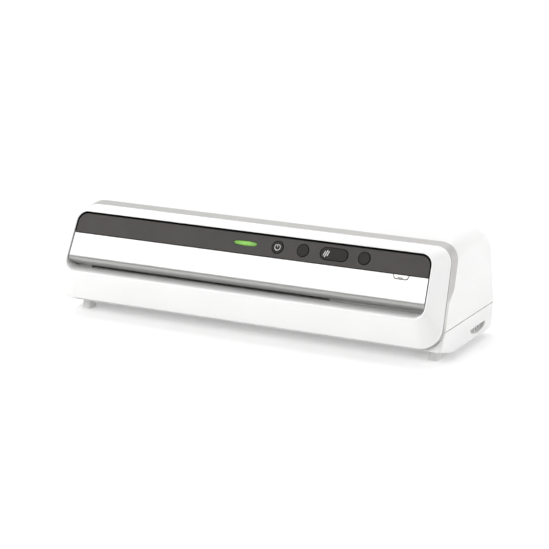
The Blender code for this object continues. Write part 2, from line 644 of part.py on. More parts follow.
def make_feet(rubber, plastic):
    for side, name in ((-1, "left"), (1, "right")):
        loops = []
        for z, grow in ((0.0, FOOT_TAPER), (1.5 * MM, FOOT_TAPER), (None, 0.0)):
            half_x = FRONT_FOOT_WIDTH / 2 + grow
            half_y = FRONT_FOOT_LENGTH / 2 + grow
            loop = []
            for sign_x, sign_y in ((1, 1), (1, -1), (-1, -1), (-1, 1)):
                x = side * (HALF_WIDTH - FRONT_FOOT_SIDE_INSET) + sign_x * half_x
                y = FRONT_Y + FRONT_FOOT_SETBACK + sign_y * half_y
                loop.append((x, y, chin_height(y) - GAP if z is None else z))
            loops.append(loop)
        add_object(f"front_foot_{name}", capped_solid(loops), plastic)
        stations = [(0, REAR_FOOT_RADIUS - 1.0 * MM), (1.0 * MM, REAR_FOOT_RADIUS),
                    (BASE_UNDERSIDE_Z - GAP, REAR_FOOT_RADIUS)]
        centre = (side * (HALF_WIDTH - REAR_FOOT_SIDE_INSET), REAR_Y - REAR_FOOT_REAR_INSET, 0)
        pad = turned_solid(centre, (0, 0, 1), stations, SHAFT_STEPS)
        add_object(f"rear_foot_{name}", pad, rubber)


def chin_height(y):
    share = (y - CHIN_REAR_Y) / (cover_front_y(CHIN_TOP_Z) - CHIN_REAR_Y)
    return lerp(BASE_UNDERSIDE_Z, CHIN_TOP_Z, max(0.0, share))


# ---------------------------------------------------------------- panel and controls
def face_point(x, z, stand=0.0):
    """A point on the rim plane, stood off along its outward normal."""
    return Vector((x, rim_plane_y(z), z)) + FACE_OUT * stand


def pill_profile(length, radius, steps=12):
    """A round-ended slot shape in the plane of the fascia; a circle where length is 2 radii."""
    points = []
    straight = length / 2 - radius
    for sign in (1, -1):
        for step in range(steps + 1):
            angle = sign * math.pi / 2 - math.pi * step / steps
            points.append((sign * straight + radius * math.cos(angle), radius * math.sin(angle)))
    if straight < 1e-6:
        points = [(radius * math.cos(2 * math.pi * step / (2 * steps)),
                   -radius * math.sin(2 * math.pi * step / (2 * steps))) for step in range(2 * steps)]
    return points


def face_loop(outline, centre, stand):
    return [centre + Vector((x, 0, 0)) + FACE_UP * up + FACE_OUT * stand for x, up in outline]


def lens_profile(length, height, steps=9):
    """A long lens shape with tapered, rounded ends."""
    points = []
    for step in range(2 * steps):
        angle = 2 * math.pi * step / (2 * steps)
        x = length / 2 * math.copysign(abs(math.cos(angle)) ** 0.8, math.cos(angle))
        up = height / 2 * math.copysign(abs(math.sin(angle)) ** 0.7, math.sin(angle))
        points.append((x, -up))
    return points


BUTTONS = (("power_button", POWER_BUTTON_X, 2 * ROUND_BUTTON_RADIUS, ROUND_BUTTON_RADIUS),
           ("reverse_button", REVERSE_BUTTON_X, 2 * ROUND_BUTTON_RADIUS, ROUND_BUTTON_RADIUS),
           ("mode_button", MODE_BUTTON_X, PILL_LENGTH, PILL_RADIUS),
           ("select_button", SELECT_BUTTON_X, 2 * ROUND_BUTTON_RADIUS, ROUND_BUTTON_RADIUS))


def make_fascia(material):
    """The dark band: the top of the opening's outline, cut off level above the front panel."""
    outline = [point for point in rim_outline(PANEL_GAP) if point.z > FASCIA_BOTTOM_Z]
    half = rim_half(FASCIA_BOTTOM_Z) - PANEL_GAP
    right = [point for point in outline if point.x > 0]
    left = [point for point in outline if point.x < 0]
    loop = right + [face_point(half, FASCIA_BOTTOM_Z), face_point(-half, FASCIA_BOTTOM_Z)] + left
    front = [point - FACE_OUT * FASCIA_RECESS for point in loop]
    back = [point - FACE_OUT * FASCIA_THICKNESS for point in front]
    fascia = add_object("control_fascia", capped_solid([front, back]), material)
    for name, x, length, radius in BUTTONS:
        outline = pill_profile(length + 2 * BUTTON_GAP, radius + BUTTON_GAP)
        cut_fascia(name, outline, face_point(x, CONTROL_Z), fascia)
    lens = lens_profile(LENS_LENGTH + 2 * BUTTON_GAP, LENS_HEIGHT + 2 * BUTTON_GAP)
    cut_fascia("status_light", lens, face_point(LENS_X, CONTROL_Z), fascia)
    return fascia


def cut_fascia(name, outline, centre, fascia):
    deep = -FASCIA_RECESS - 2 * FASCIA_THICKNESS
    loops = [face_loop(outline, centre, stand) for stand in (deep, FASCIA_THICKNESS)]
    add_cutter(f"{name}_cutter", capped_solid(loops), fascia)


def make_buttons(material):
    """Each button has a crowned face, a stem through the fascia and a flange behind it."""
    surface = -FASCIA_RECESS
    behind = surface - FASCIA_THICKNESS - GAP
    for name, x, length, radius in BUTTONS:
        centre = face_point(x, CONTROL_Z)
        levels = ((surface + BUTTON_STAND, -BUTTON_CROWN),
                  (surface + BUTTON_STAND - 0.2 * MM, -0.4 * BUTTON_CROWN),
                  (surface + BUTTON_STAND - 0.8 * MM, 0.0), (behind, 0.0), (behind, FLANGE_WIDTH),
                  (behind - FLANGE_THICKNESS, FLANGE_WIDTH))
        loops = [face_loop(pill_profile(length + 2 * grow, radius + grow), centre, stand)
                 for stand, grow in levels]
        add_object(name, capped_solid(loops), material, centre + FACE_OUT * surface)


def make_status_light(material):
    surface = -FASCIA_RECESS
    levels = ((surface + 0.3 * MM, -1.0 * MM), (surface + 0.1 * MM, 0.0),
              (surface - FASCIA_THICKNESS - 1.0 * MM, 0.0))
    loops = [face_loop(lens_profile(LENS_LENGTH + 2 * grow, LENS_HEIGHT + 2 * grow),
                       face_point(LENS_X, CONTROL_Z), stand) for stand, grow in levels]
    add_object("status_light_lens", capped_solid(loops), material)


def panel_profile():
    """Closed section of the front panel: down its flat face, round the toe and back inside."""
    top_z = FASCIA_BOTTOM_Z - 2 * GAP
    outer = [face_point(0, top_z, -FASCIA_RECESS), face_point(0, PANEL_CURVE_Z, -FASCIA_RECESS)]
    start = outer[-1]
    end = Vector((0, PANEL_TOE_Y, PANEL_TOE_Z))
    toe_direction = Vector((0, -0.93, 0.36))
    first = start - FACE_UP * PANEL_CURVE_PULL
    second = end + toe_direction * PANEL_CURVE_PULL
    steps = 8
    for step in range(1, steps + 1):
        share = step / steps
        outer.append(start * (1 - share) ** 3 + first * 3 * share * (1 - share) ** 2
                     + second * 3 * share ** 2 * (1 - share) + end * share ** 3)
    outer.append(end + Vector((0, PANEL_TAIL, 0)))
    inner = []
    for index, point in enumerate(outer):
        before = outer[max(index - 1, 0)]
        after = outer[min(index + 1, len(outer) - 1)]
        along = (after - before).normalized()
        inner.append(point + Vector((0, -along.z, along.y)) * PANEL_THICKNESS)
    return outer + list(reversed(inner))


def make_front_panel(material):
    profile = panel_profile()
    loops = []
    for side in (-1, 1):
        half = [rim_edge(point.z) - PANEL_GAP for point in profile]
        loops.append([Vector((side * x, point.y, point.z)) for x, point in zip(half, profile)])
    panel = add_object("front_panel", capped_solid(loops), material)
    outline = tab_outline(BUTTON_GAP)
    deep = -FASCIA_RECESS - 2 * PANEL_THICKNESS
    loops = [face_loop(outline, face_point(TAB_X, FASCIA_BOTTOM_Z), stand)
             for stand in (deep, PANEL_THICKNESS)]
    add_cutter("release_tab_cutter", capped_solid(loops), panel)
    return panel


def tab_outline(grow, rise=TAB_RISE):
    """Wide along the fascia's lower edge, narrower and rounded below."""
    half = TAB_WIDTH / 2 + grow
    low = -TAB_HEIGHT - grow
    slope = TAB_SLANT / TAB_HEIGHT
    top = Vector((half + slope * rise, rise))
    foot = Vector((half + slope * low, low))
    right = [top] + corner_arc(foot, (foot - top).normalized(), Vector((-1.0, 0.0)), TAB_CORNER, 4)
    return right + [Vector((-point.x, point.y)) for point in reversed(right)]


def make_release_tab(material):
    centre = face_point(TAB_X, FASCIA_BOTTOM_Z)
    surface = -FASCIA_RECESS
    behind = surface - PANEL_THICKNESS - 2 * GAP
    levels = ((surface + 0.2 * MM, -0.4 * BUTTON_CROWN), (surface - 0.2 * MM, 0.0), (behind, 0.0),
              (behind, FLANGE_WIDTH), (behind - FLANGE_THICKNESS, FLANGE_WIDTH))
    rise = -3 * GAP
    loops = [face_loop(tab_outline(grow, rise), centre, stand) for stand, grow in levels]
    add_object("release_tab", capped_solid(loops), material, centre + FACE_OUT * surface)


def make_feed_ledge(material):
    """Entry guide behind the bezel's floor, with raised ends beside the pouch slot."""
    raised_z = PANEL_TOE_Z - GAP
    front_y = rim_plane_y(raised_z) + hole_depth(raised_z) + GAP
    low_z = RIM_BOTTOM_Z - LEDGE_THICKNESS
    half = RIM_HALF_BOTTOM - RIM_RADIUS / 2
    floor = [(-half, low_z), (half, low_z), (half, raised_z), (SLOT_RIGHT_X, raised_z),
             (SLOT_RIGHT_X, RIM_BOTTOM_Z), (SLOT_LEFT_X, RIM_BOTTOM_Z),
             (SLOT_LEFT_X, raised_z), (-half, raised_z)]
    profile = [(x, 0, z) for x, z in floor]
    ledge = prism(profile, (0, front_y, 0), (0, LEDGE_REAR_Y - front_y, 0))
    return add_object("feed_ledge", ledge, material)


# ---------------------------------------------------------------- rollers and drive
ROLLERS = (("hot_upper", HOT_Y, UPPER_Z, -90), ("hot_lower", HOT_Y, LOWER_Z, 0),
           ("exit_upper", EXIT_Y, UPPER_Z, -90), ("exit_lower", EXIT_Y, LOWER_Z, 0))


def gear_solid(x, y, z, teeth, radius, width, bore, first_tooth_deg):
    """A spur gear along +X, with a bore right through where one is given."""
    pitch = 2 * math.pi / teeth
    tip = radius + 0.85 * GEAR_MODULE
    root = radius - 1.1 * GEAR_MODULE
    outline = []
    for tooth in range(teeth):
        middle = math.radians(first_tooth_deg) + tooth * pitch
        for offset, reach in ((-0.25, root), (-0.11, tip), (0.11, tip), (0.25, root)):
            outline.append((middle + offset * pitch, reach))
    loops = []
    for along in (0.0, width):
        loops.append([Vector((x + along, y + reach * math.cos(angle), z + reach * math.sin(angle)))
                      for angle, reach in outline])
    if not bore:
        return capped_solid(loops)
    for along in (width, 0.0):
        loops.append([Vector((x + along, y + bore * math.cos(angle), z + bore * math.sin(angle)))
                      for angle, reach in outline])
    return ring_solid(loops)


def bore_radius(radius, clearance, steps=SHAFT_STEPS):
    """Corner radius of a faceted bore whose flats clear a round of the given radius."""
    return (radius + clearance) / math.cos(math.pi / steps)


def make_rollers(steel, silicone, gear_plastic):
    left_end = LEFT_PLATE_X - PLATE_THICKNESS - BEARING_LENGTH
    right_end = GEAR_X + GEAR_WIDTH + SHAFT_OVERHANG
    sleeve_left = LEFT_PLATE_X + BEARING_LENGTH + SLEEVE_MARGIN
    sleeve_right = RIGHT_PLATE_X - BEARING_LENGTH - SLEEVE_MARGIN
    for name, y, z, tooth in ROLLERS:
        origin = (0, y, z)
        chamfer = 0.5 * MM
        stations = [(0, SHAFT_RADIUS - chamfer), (chamfer, SHAFT_RADIUS),
                    (right_end - left_end - chamfer, SHAFT_RADIUS),
                    (right_end - left_end, SHAFT_RADIUS - chamfer)]
        shaft = turned_solid((left_end, y, z), (1, 0, 0), stations, SHAFT_STEPS)
        add_object(f"{name}_shaft", shaft, steel, origin)
        bore = bore_radius(SHAFT_RADIUS, SLEEVE_PLAY)
        length = sleeve_right - sleeve_left
        outer = [(0, ROLLER_RADIUS), (length, ROLLER_RADIUS)]
        sleeve = turned_tube((sleeve_left, y, z), (1, 0, 0), outer, [(0, bore), (length, bore)],
                             SHAFT_STEPS)
        add_object(f"{name}_sleeve", sleeve, silicone, origin)
        gear = gear_solid(GEAR_X, y, z, GEAR_TEETH, GEAR_RADIUS, GEAR_WIDTH, bore, tooth)
        add_object(f"{name}_gear", gear, gear_plastic, origin)


def make_bearings(bronze, plastic, steel):
    """Round bushes for the lower shafts; sliding blocks with springs for the upper ones."""
    bore = bore_radius(SHAFT_RADIUS, SHAFT_PLAY)
    for side, plate_x in (("left", LEFT_PLATE_X), ("right", RIGHT_PLATE_X)):
        middle = plate_x + (-PLATE_THICKNESS / 2 if side == "left" else PLATE_THICKNESS / 2)
        start = middle - BEARING_LENGTH / 2
        for name, y in (("hot", HOT_Y), ("exit", EXIT_Y)):
            outer = [(0, BEARING_RADIUS - GAP), (BEARING_LENGTH, BEARING_RADIUS - GAP)]
            inner = [(0, bore), (BEARING_LENGTH, bore)]
            bush = turned_tube((start, y, LOWER_Z), (1, 0, 0), outer, inner, SHAFT_STEPS)
            add_object(f"{name}_bush_{side}", bush, bronze)
            block = bearing_block(start, y, bore)
            add_object(f"{name}_bearing_block_{side}", block, plastic)
            spring = coil((middle, y, BLOCK_TOP_Z + GAP), SPRING_TOP_Z - GAP)
            add_object(f"{name}_spring_{side}", spring, steel)


def bearing_block(start, y, bore):
    """A square block with a round bore, both drawn with the same number of corners."""
    half = BEARING_RADIUS - GAP
    square, round_bore = [], []
    for step in range(SHAFT_STEPS):
        angle = math.pi / 4 + 2 * math.pi * step / SHAFT_STEPS
        reach = half / max(abs(math.cos(angle)), abs(math.sin(angle)))
        square.append(Vector((0, reach * math.cos(angle), reach * math.sin(angle))))
        round_bore.append(Vector((0, bore * math.cos(angle), bore * math.sin(angle))))
    centre = Vector((start, y, UPPER_Z))
    far = Vector((BEARING_LENGTH, 0, 0))
    loops = [[centre + point for point in square], [centre + far + point for point in square],
             [centre + far + point for point in round_bore], [centre + point for point in round_bore]]
    return ring_solid(loops)


def coil(foot, top_z):
    """A compression spring standing on its foot point."""
    sides = 5
    steps = 10
    foot = Vector(foot)
    height = top_z - foot.z - 2 * SPRING_WIRE
    loops = []
    for step in range(SPRING_TURNS * steps + 1):
        angle = 2 * math.pi * step / steps
        outward = Vector((math.cos(angle), math.sin(angle), 0))
        rise = SPRING_WIRE + height * step / (SPRING_TURNS * steps)
        centre = foot + outward * SPRING_RADIUS + Vector((0, 0, rise))
        loops.append([centre + point for point in
                      circle(SPRING_WIRE, sides, outward, Vector((0, 0, 1)))])
    return capped_solid(loops)


def plate_outline():
    """The plate's lower front corner follows the sloping floor behind the chin."""
    slope_shift = CHIN_WALL_RUN * BASE_WALL
    front_z = chin_height(PLATE_FRONT_Y - slope_shift) + 2 * GAP
    return [(PLATE_FRONT_Y, front_z), (CHIN_REAR_Y + slope_shift, FLOOR_Z + GAP),
            (PLATE_REAR_Y, FLOOR_Z + GAP), (PLATE_REAR_Y, PLATE_TOP_Z), (PLATE_FRONT_Y, PLATE_TOP_Z)]


def make_chassis(steel):
    """Two side plates with holes for the bushes and slots for the sliding blocks, and a tie bar."""
    for side, plate_x in (("left", LEFT_PLATE_X - PLATE_THICKNESS), ("right", RIGHT_PLATE_X)):
        profile = [(0, y, z) for y, z in plate_outline()]
        blank = prism(profile, (plate_x, 0, 0), (PLATE_THICKNESS, 0, 0))
        plate = add_object(f"chassis_plate_{side}", blank, steel)
        for name, y in (("hot", HOT_Y), ("exit", EXIT_Y)):
            start = (plate_x - PLATE_THICKNESS, y, LOWER_Z)
            radius = bore_radius(BEARING_RADIUS, 0.0)
            hole = turned_solid(start, (1, 0, 0), [(0, radius), (3 * PLATE_THICKNESS, radius)],
                                SHAFT_STEPS)
            add_cutter(f"{name}_bush_cutter_{side}", hole, plate)
            slot = box((plate_x - PLATE_THICKNESS, y - BEARING_RADIUS, UPPER_Z - BEARING_RADIUS),
                       (plate_x + 2 * PLATE_THICKNESS, y + BEARING_RADIUS, SPRING_TOP_Z))
            add_cutter(f"{name}_block_cutter_{side}", slot, plate)
    inset = 2 * PLATE_THICKNESS
    bar_low = (LEFT_PLATE_X + GAP, PLATE_REAR_Y - inset - TIE_BAR_SIZE, PLATE_TOP_Z - inset - TIE_BAR_SIZE)
    bar_high = (RIGHT_PLATE_X - GAP, PLATE_REAR_Y - inset, PLATE_TOP_Z - inset)
    add_object("chassis_tie_bar", box(bar_low, bar_high), steel)


def make_idler_and_motor(gear_plastic, steel, motor_metal):
    bore = bore_radius(PIN_RADIUS, SHAFT_PLAY)
    idler = gear_solid(GEAR_X, IDLER_Y, LOWER_Z, IDLER_TEETH, IDLER_RADIUS, GEAR_WIDTH, bore,
                       180 + 180 / IDLER_TEETH)
    add_object("idler_gear", idler, gear_plastic, (0, IDLER_Y, LOWER_Z))
    pin_start = RIGHT_PLATE_X + PLATE_THICKNESS + GAP
    pin_length = BRACKET_X - GAP - pin_start
    collar = PIN_RADIUS + PIN_COLLAR
    collar_length = BEARING_LENGTH - 2 * GAP
    pin = turned_solid((pin_start, IDLER_Y, LOWER_Z), (1, 0, 0),
                       [(0, collar), (collar_length, collar), (collar_length, PIN_RADIUS),
                        (pin_length, PIN_RADIUS)], SHAFT_STEPS)
    add_object("idler_pin", pin, steel)
    toothed = gear_solid(GEAR_X, IDLER_Y, PINION_Z, PINION_TEETH, PINION_RADIUS, GEAR_WIDTH, 0.0,
                         270 + 180 / PINION_TEETH)
    pinion = add_object("motor_pinion", toothed, steel, (0, IDLER_Y, PINION_Z))
    reach = BRACKET_X + PLATE_THICKNESS + MOTOR_LENGTH / 3 - GEAR_X - GEAR_WIDTH / 2
    stub = turned_solid((GEAR_X + GEAR_WIDTH / 2, IDLER_Y, PINION_Z), (1, 0, 0),
                        [(0, MOTOR_SHAFT_RADIUS), (reach, MOTOR_SHAFT_RADIUS)], SHAFT_STEPS)
    add_cutter("pinion_stub", stub, pinion, "UNION")
    make_motor(steel, motor_metal)


def make_motor(steel, motor_metal):
    """A geared can motor on a channel bracket that stands off the right chassis plate."""
    hole_radius = bore_radius(MOTOR_SHAFT_RADIUS, 3 * SHAFT_PLAY)
    front = BRACKET_X + PLATE_THICKNESS + GAP
    chamfer = 1.0 * MM
    outer = [(0, MOTOR_RADIUS - chamfer), (chamfer, MOTOR_RADIUS), (MOTOR_LENGTH, MOTOR_RADIUS)]
    can = turned_tube((front, IDLER_Y, PINION_Z), (1, 0, 0), outer,
                      [(0, hole_radius), (MOTOR_LENGTH, hole_radius)])
    add_object("drive_motor", can, motor_metal)
    near = RIGHT_PLATE_X + PLATE_THICKNESS + GAP
    far = BRACKET_X + PLATE_THICKNESS
    wall = PLATE_THICKNESS
    section = [(near, BRACKET_TOP_Z), (far, BRACKET_TOP_Z), (far, BRACKET_BOTTOM_Z),
               (near, BRACKET_BOTTOM_Z), (near, BRACKET_BOTTOM_Z + wall),
               (far - wall, BRACKET_BOTTOM_Z + wall), (far - wall, BRACKET_TOP_Z - wall),
               (near, BRACKET_TOP_Z - wall)]
    half = MOTOR_RADIUS + BRACKET_SIDE
    channel = prism([(x, 0, z) for x, z in section], (0, IDLER_Y - half, 0), (0, 2 * half, 0))
    bracket = add_object("motor_bracket", channel, steel)
    radius = bore_radius(MOTOR_SHAFT_RADIUS, 5 * SHAFT_PLAY)
    hole = turned_solid((far - 3 * wall, IDLER_Y, PINION_Z), (1, 0, 0),
                        [(0, radius), (5 * wall, radius)], SHAFT_STEPS)
    add_cutter("bracket_cutter", hole, bracket)


def make_heater_shoes(aluminium, cutout_plastic):
    """Curved shoes over the upper hot roller and under the lower one."""
    length_from = LEFT_PLATE_X + BEARING_LENGTH
    length_to = RIGHT_PLATE_X - BEARING_LENGTH
    inner = ROLLER_RADIUS + SHOE_GAP
    outer = inner + SHOE_WALL
    steps = 12
    for name, z, middle in (("upper_heater_shoe", UPPER_Z, 90), ("lower_heater_shoe", LOWER_Z, -90)):
        first = middle - SHOE_ARC / 2
        angles = [math.radians(first + SHOE_ARC * step / steps) for step in range(steps + 1)]
        section = [(outer * math.cos(angle), outer * math.sin(angle)) for angle in angles]
        section += [(inner * math.cos(angle), inner * math.sin(angle)) for angle in reversed(angles)]
        profile = [(0, y, up) for y, up in section]
        shoe = prism(profile, (length_from, HOT_Y, z), (length_to - length_from, 0, 0))
        add_object(name, shoe, aluminium)
    top = UPPER_Z + outer + GAP
    stations = [(0, CUTOUT_RADIUS), (CUTOUT_HEIGHT, CUTOUT_RADIUS), (CUTOUT_HEIGHT, CUTOUT_CAP_RADIUS),
                (CUTOUT_HEIGHT + CUTOUT_CAP_HEIGHT, CUTOUT_CAP_RADIUS)]
    cutout = turned_solid((SLOT_CENTRE_X, HOT_Y, top), (0, 0, 1), stations, SHAFT_STEPS)
    add_object("thermal_cutout", cutout, cutout_plastic)


def make_guides(plastic):
    """Flat guides between the roller pairs and out to the exit slot."""
    reach = ROLLER_RADIUS + GUIDE_GAP
    left = LEFT_PLATE_X + BEARING_LENGTH
    right = RIGHT_PLATE_X - BEARING_LENGTH
    top_z = NIP_Z - GUIDE_DROP
    low_z = top_z - GUIDE_THICKNESS
    middle = box((left, HOT_Y + reach, low_z), (right, EXIT_Y - reach, top_z))
    add_object("middle_guide", middle, plastic)
    rear = box((left, EXIT_Y + reach, low_z), (right, REAR_Y - COVER_WALL - GAP, top_z))
    add_object("exit_guide", rear, plastic)


def make_control_board(board_green):
    """The key board behind the fascia, with a switch under each key."""
    press_face = -FASCIA_RECESS - FASCIA_THICKNESS - FLANGE_THICKNESS - BUTTON_TRAVEL - 2 * GAP
    board_front = press_face - SWITCH_HEIGHT
    left = LENS_X - LENS_LENGTH / 2 - KEY_BOARD_MARGIN
    right = SELECT_BUTTON_X + ROUND_BUTTON_RADIUS + KEY_BOARD_MARGIN
    half = KEY_BOARD_HEIGHT / 2
    outline = [(left, half), (right, half), (right, -half), (left, -half)]
    centre = face_point(0, CONTROL_Z)
    loops = [face_loop(outline, centre, stand) for stand in (board_front, board_front - BOARD_THICKNESS)]
    board = add_object("control_board", capped_solid(loops), board_green)
    half = SWITCH_SIZE / 2
    pad = [(-half, half), (half, half), (half, -half), (-half, -half)]
    for name, x, length, radius in BUTTONS:
        loops = [face_loop(pad, face_point(x, CONTROL_Z), stand)
                 for stand in (press_face, board_front - BOARD_THICKNESS / 2)]
        add_cutter(f"{name}_switch", capped_solid(loops), board, "UNION")


def make_power_board(board_green):
    """The mains board on the floor beside the motor, with its relay and capacitor."""
    right = HALF_WIDTH - POWER_BOARD_SIDE_INSET
    left = right - POWER_BOARD_WIDTH
    front = HOT_Y - POWER_BOARD_LEAD
    low = FLOOR_Z + POWER_BOARD_STAND
    top = low + BOARD_THICKNESS
    blank = box((left, front, low), (right, front + POWER_BOARD_LENGTH, top))
    board = add_object("power_board", blank, board_green)
    seat = top - BOARD_THICKNESS / 2
    relay_low = (left + POWER_BOARD_LEAD / 2, front + POWER_BOARD_LENGTH / 2, seat)
    relay_high = (relay_low[0] + RELAY_WIDTH, relay_low[1] + RELAY_LENGTH, seat + RELAY_HEIGHT)
    add_cutter("relay_block", box(relay_low, relay_high), board, "UNION")
    centre = (right - POWER_BOARD_LEAD, front + POWER_BOARD_LEAD, seat)
    stations = [(0, CAPACITOR_RADIUS), (CAPACITOR_HEIGHT, CAPACITOR_RADIUS)]
    add_cutter("capacitor_can", turned_solid(centre, (0, 0, 1), stations, SHAFT_STEPS), board, "UNION")


def make_gland(plastic):
    """The bush in the rear wall where the mains cord would enter."""
    wall_y = REAR_Y - BASE_REAR_DRAFT * (PARTING_Z - GLAND_Z) / (PARTING_Z - BASE_UNDERSIDE_Z)
    inside = -BASE_WALL - GLAND_TAIL
    neck = GLAND_RADIUS - GAP
    flange = GLAND_RADIUS + GLAND_FLANGE
    face = GLAND_STAND + GLAND_FLANGE_THICKNESS
    outer = [(inside, neck), (GLAND_STAND, neck), (GLAND_STAND, flange), (face, flange - GLAND_FLANGE / 3)]
    inner = [(inside, GLAND_BORE), (face, GLAND_BORE)]
    ring = turned_tube((GLAND_X, wall_y, GLAND_Z), (0, 1, 0), outer, inner, SHAFT_STEPS, (1, 0, 0))
    add_object("cord_gland", ring, plastic)


def make_entry_sensor(black_plastic):
    """A light flag that a pouch pushes back, and the slotted sensor that it leaves."""
    x = FLAG_X
    pivot = Vector((x, FLAG_PIVOT_Y, RIM_BOTTOM_Z + FLAG_PIVOT_RISE))
    half = FLAG_HALF_WIDTH
    knee = -FLAG_PIVOT_RISE / 2
    tip = FLAG_TIP_RISE - FLAG_PIVOT_RISE
    arm = [(-half, FLAG_HEAD), (half, FLAG_HEAD), (half, knee), (0.4 * half, tip), (-0.4 * half, tip),
           (-half, knee)]
    profile = [(0, y, z) for y, z in arm]
    flag = add_object("sensor_flag", prism(profile, pivot, (FLAG_THICKNESS, 0, 0)), black_plastic, pivot)
    bore_start = pivot - Vector((FLAG_THICKNESS, 0, 0))
    bore = turned_solid(bore_start, (1, 0, 0), [(0, FLAG_BORE), (3 * FLAG_THICKNESS, FLAG_BORE)], 16)
    add_cutter("flag_bore_cutter", bore, flag)
    outer = x - SENSOR_CLEARANCE - SENSOR_CHEEK
    span = FLAG_THICKNESS + 2 * SENSOR_CLEARANCE
    roof = box((outer, pivot.y - SENSOR_DEPTH / 2, pivot.z + SENSOR_HEIGHT - SENSOR_CHEEK),
               (outer + span + 2 * SENSOR_CHEEK, pivot.y + SENSOR_DEPTH / 2, pivot.z + SENSOR_HEIGHT))
    sensor = add_object("entry_sensor", roof, black_plastic)
    for index, start_x in enumerate((outer, outer + SENSOR_CHEEK + span)):
        cheek = box((start_x, pivot.y - SENSOR_DEPTH / 3, pivot.z - SENSOR_CHEEK),
                    (start_x + SENSOR_CHEEK, pivot.y + SENSOR_DEPTH / 3, pivot.z + SENSOR_HEIGHT - 1.0 * MM))
        add_cutter(f"sensor_cheek_{index}", cheek, sensor, "UNION")
    pin_radius = FLAG_BORE - 1.5 * SHAFT_PLAY
    pin_start = Vector((outer + SENSOR_CHEEK / 2, pivot.y, pivot.z))
    stations = [(0, pin_radius), (span + SENSOR_CHEEK, pin_radius)]
    add_cutter("flag_pin", turned_solid(pin_start, (1, 0, 0), stations, 16), sensor, "UNION")


def main():
    for item in list(bpy.data.objects):
        bpy.data.objects.remove(item, do_unlink=True)
    white = make_material("white_housing", (0.86, 0.86, 0.85), 0.42)
    silver = make_material("silver_trim", (0.62, 0.62, 0.61), 0.38, 0.25)
    dark = make_material("dark_fascia", (0.085, 0.078, 0.072), 0.4)
    key = make_material("key_plastic", (0.04, 0.037, 0.035), 0.45)
    pearl = make_material("pearl_panel", (0.84, 0.84, 0.83), 0.3)
    light_grey = make_material("light_grey_plastic", (0.6, 0.6, 0.59), 0.5)
    green = make_material("green_lens", (0.18, 0.62, 0.1), 0.25)
    rubber = make_material("foot_rubber", (0.05, 0.05, 0.05), 0.8)
    steel = make_material("steel", (0.6, 0.6, 0.6), 0.3, 1.0)
    silicone = make_material("silicone", (0.45, 0.09, 0.05), 0.7)
    gear_plastic = make_material("gear_plastic", (0.75, 0.73, 0.66), 0.5)
    bronze = make_material("bush_bronze", (0.5, 0.33, 0.15), 0.4, 1.0)
    motor_metal = make_material("motor_can", (0.5, 0.5, 0.5), 0.35, 1.0)
    aluminium = make_material("aluminium", (0.75, 0.76, 0.77), 0.35, 1.0)
    board_green = make_material("board_green", (0.03, 0.2, 0.08), 0.5)
    black_plastic = make_material("black_plastic", (0.02, 0.02, 0.02), 0.5)
    make_front_bezel(white)
    make_trim_ring(silver)
    make_top_cover(white)
    make_base_tray(white)
    make_feet(rubber, light_grey)
    make_fascia(dark)
    make_buttons(key)
    make_status_light(green)
    make_front_panel(pearl)
    make_release_tab(pearl)
    make_feed_ledge(light_grey)
    make_rollers(steel, silicone, gear_plastic)
    make_bearings(bronze, black_plastic, steel)
    make_chassis(steel)
    make_idler_and_motor(gear_plastic, steel, motor_metal)
    make_heater_shoes(aluminium, black_plastic)
    make_guides(light_grey)
    make_control_board(board_green)
    make_power_board(board_green)
    make_gland(black_plastic)
    make_entry_sensor(black_plastic)


main()
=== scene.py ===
"""Looks of the pouch laminator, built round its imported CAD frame.

Metres, in the frame's own axes: +X to the right of a user at the entry slot, +Y back, +Z up.
Each shell repeats the form of the CAD node that it stands for, with finer rounding and more detail.
"""

import json
import math

import bmesh
import bpy
from mathutils import Matrix, Vector

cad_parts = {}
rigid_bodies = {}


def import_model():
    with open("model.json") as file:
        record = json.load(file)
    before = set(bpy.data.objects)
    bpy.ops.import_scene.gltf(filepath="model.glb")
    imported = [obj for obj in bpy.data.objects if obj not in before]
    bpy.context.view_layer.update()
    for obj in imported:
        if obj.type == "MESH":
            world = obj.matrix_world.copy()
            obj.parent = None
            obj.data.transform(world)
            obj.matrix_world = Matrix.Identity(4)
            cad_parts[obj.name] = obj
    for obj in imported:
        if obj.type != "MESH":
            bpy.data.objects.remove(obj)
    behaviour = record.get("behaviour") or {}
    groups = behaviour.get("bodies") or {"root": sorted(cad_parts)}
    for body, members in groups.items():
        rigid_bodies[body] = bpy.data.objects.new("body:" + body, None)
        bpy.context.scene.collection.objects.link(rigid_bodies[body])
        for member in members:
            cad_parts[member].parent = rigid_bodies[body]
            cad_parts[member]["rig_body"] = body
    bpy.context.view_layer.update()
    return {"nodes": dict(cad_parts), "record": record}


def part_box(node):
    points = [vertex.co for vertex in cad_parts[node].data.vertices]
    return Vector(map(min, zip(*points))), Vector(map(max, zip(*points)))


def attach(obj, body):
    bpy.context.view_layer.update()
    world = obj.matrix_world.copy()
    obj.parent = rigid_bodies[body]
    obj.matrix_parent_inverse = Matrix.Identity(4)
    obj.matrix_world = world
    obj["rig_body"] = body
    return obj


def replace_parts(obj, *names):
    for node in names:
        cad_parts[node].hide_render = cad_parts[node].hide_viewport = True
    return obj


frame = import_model()

MM = 0.001

# Overall sizes
HALF_WIDTH = 261.6 * MM
FRONT_Y = -92.6 * MM
REAR_Y = 92.6 * MM
BODY_HEIGHT = 140.0 * MM
GAP = 0.3 * MM  # between fixed parts
BUTTON_GAP = 0.35 * MM  # round the keys, the lens and the tab
PANEL_GAP = 1.4 * MM  # from the fascia and the panel to the bezel

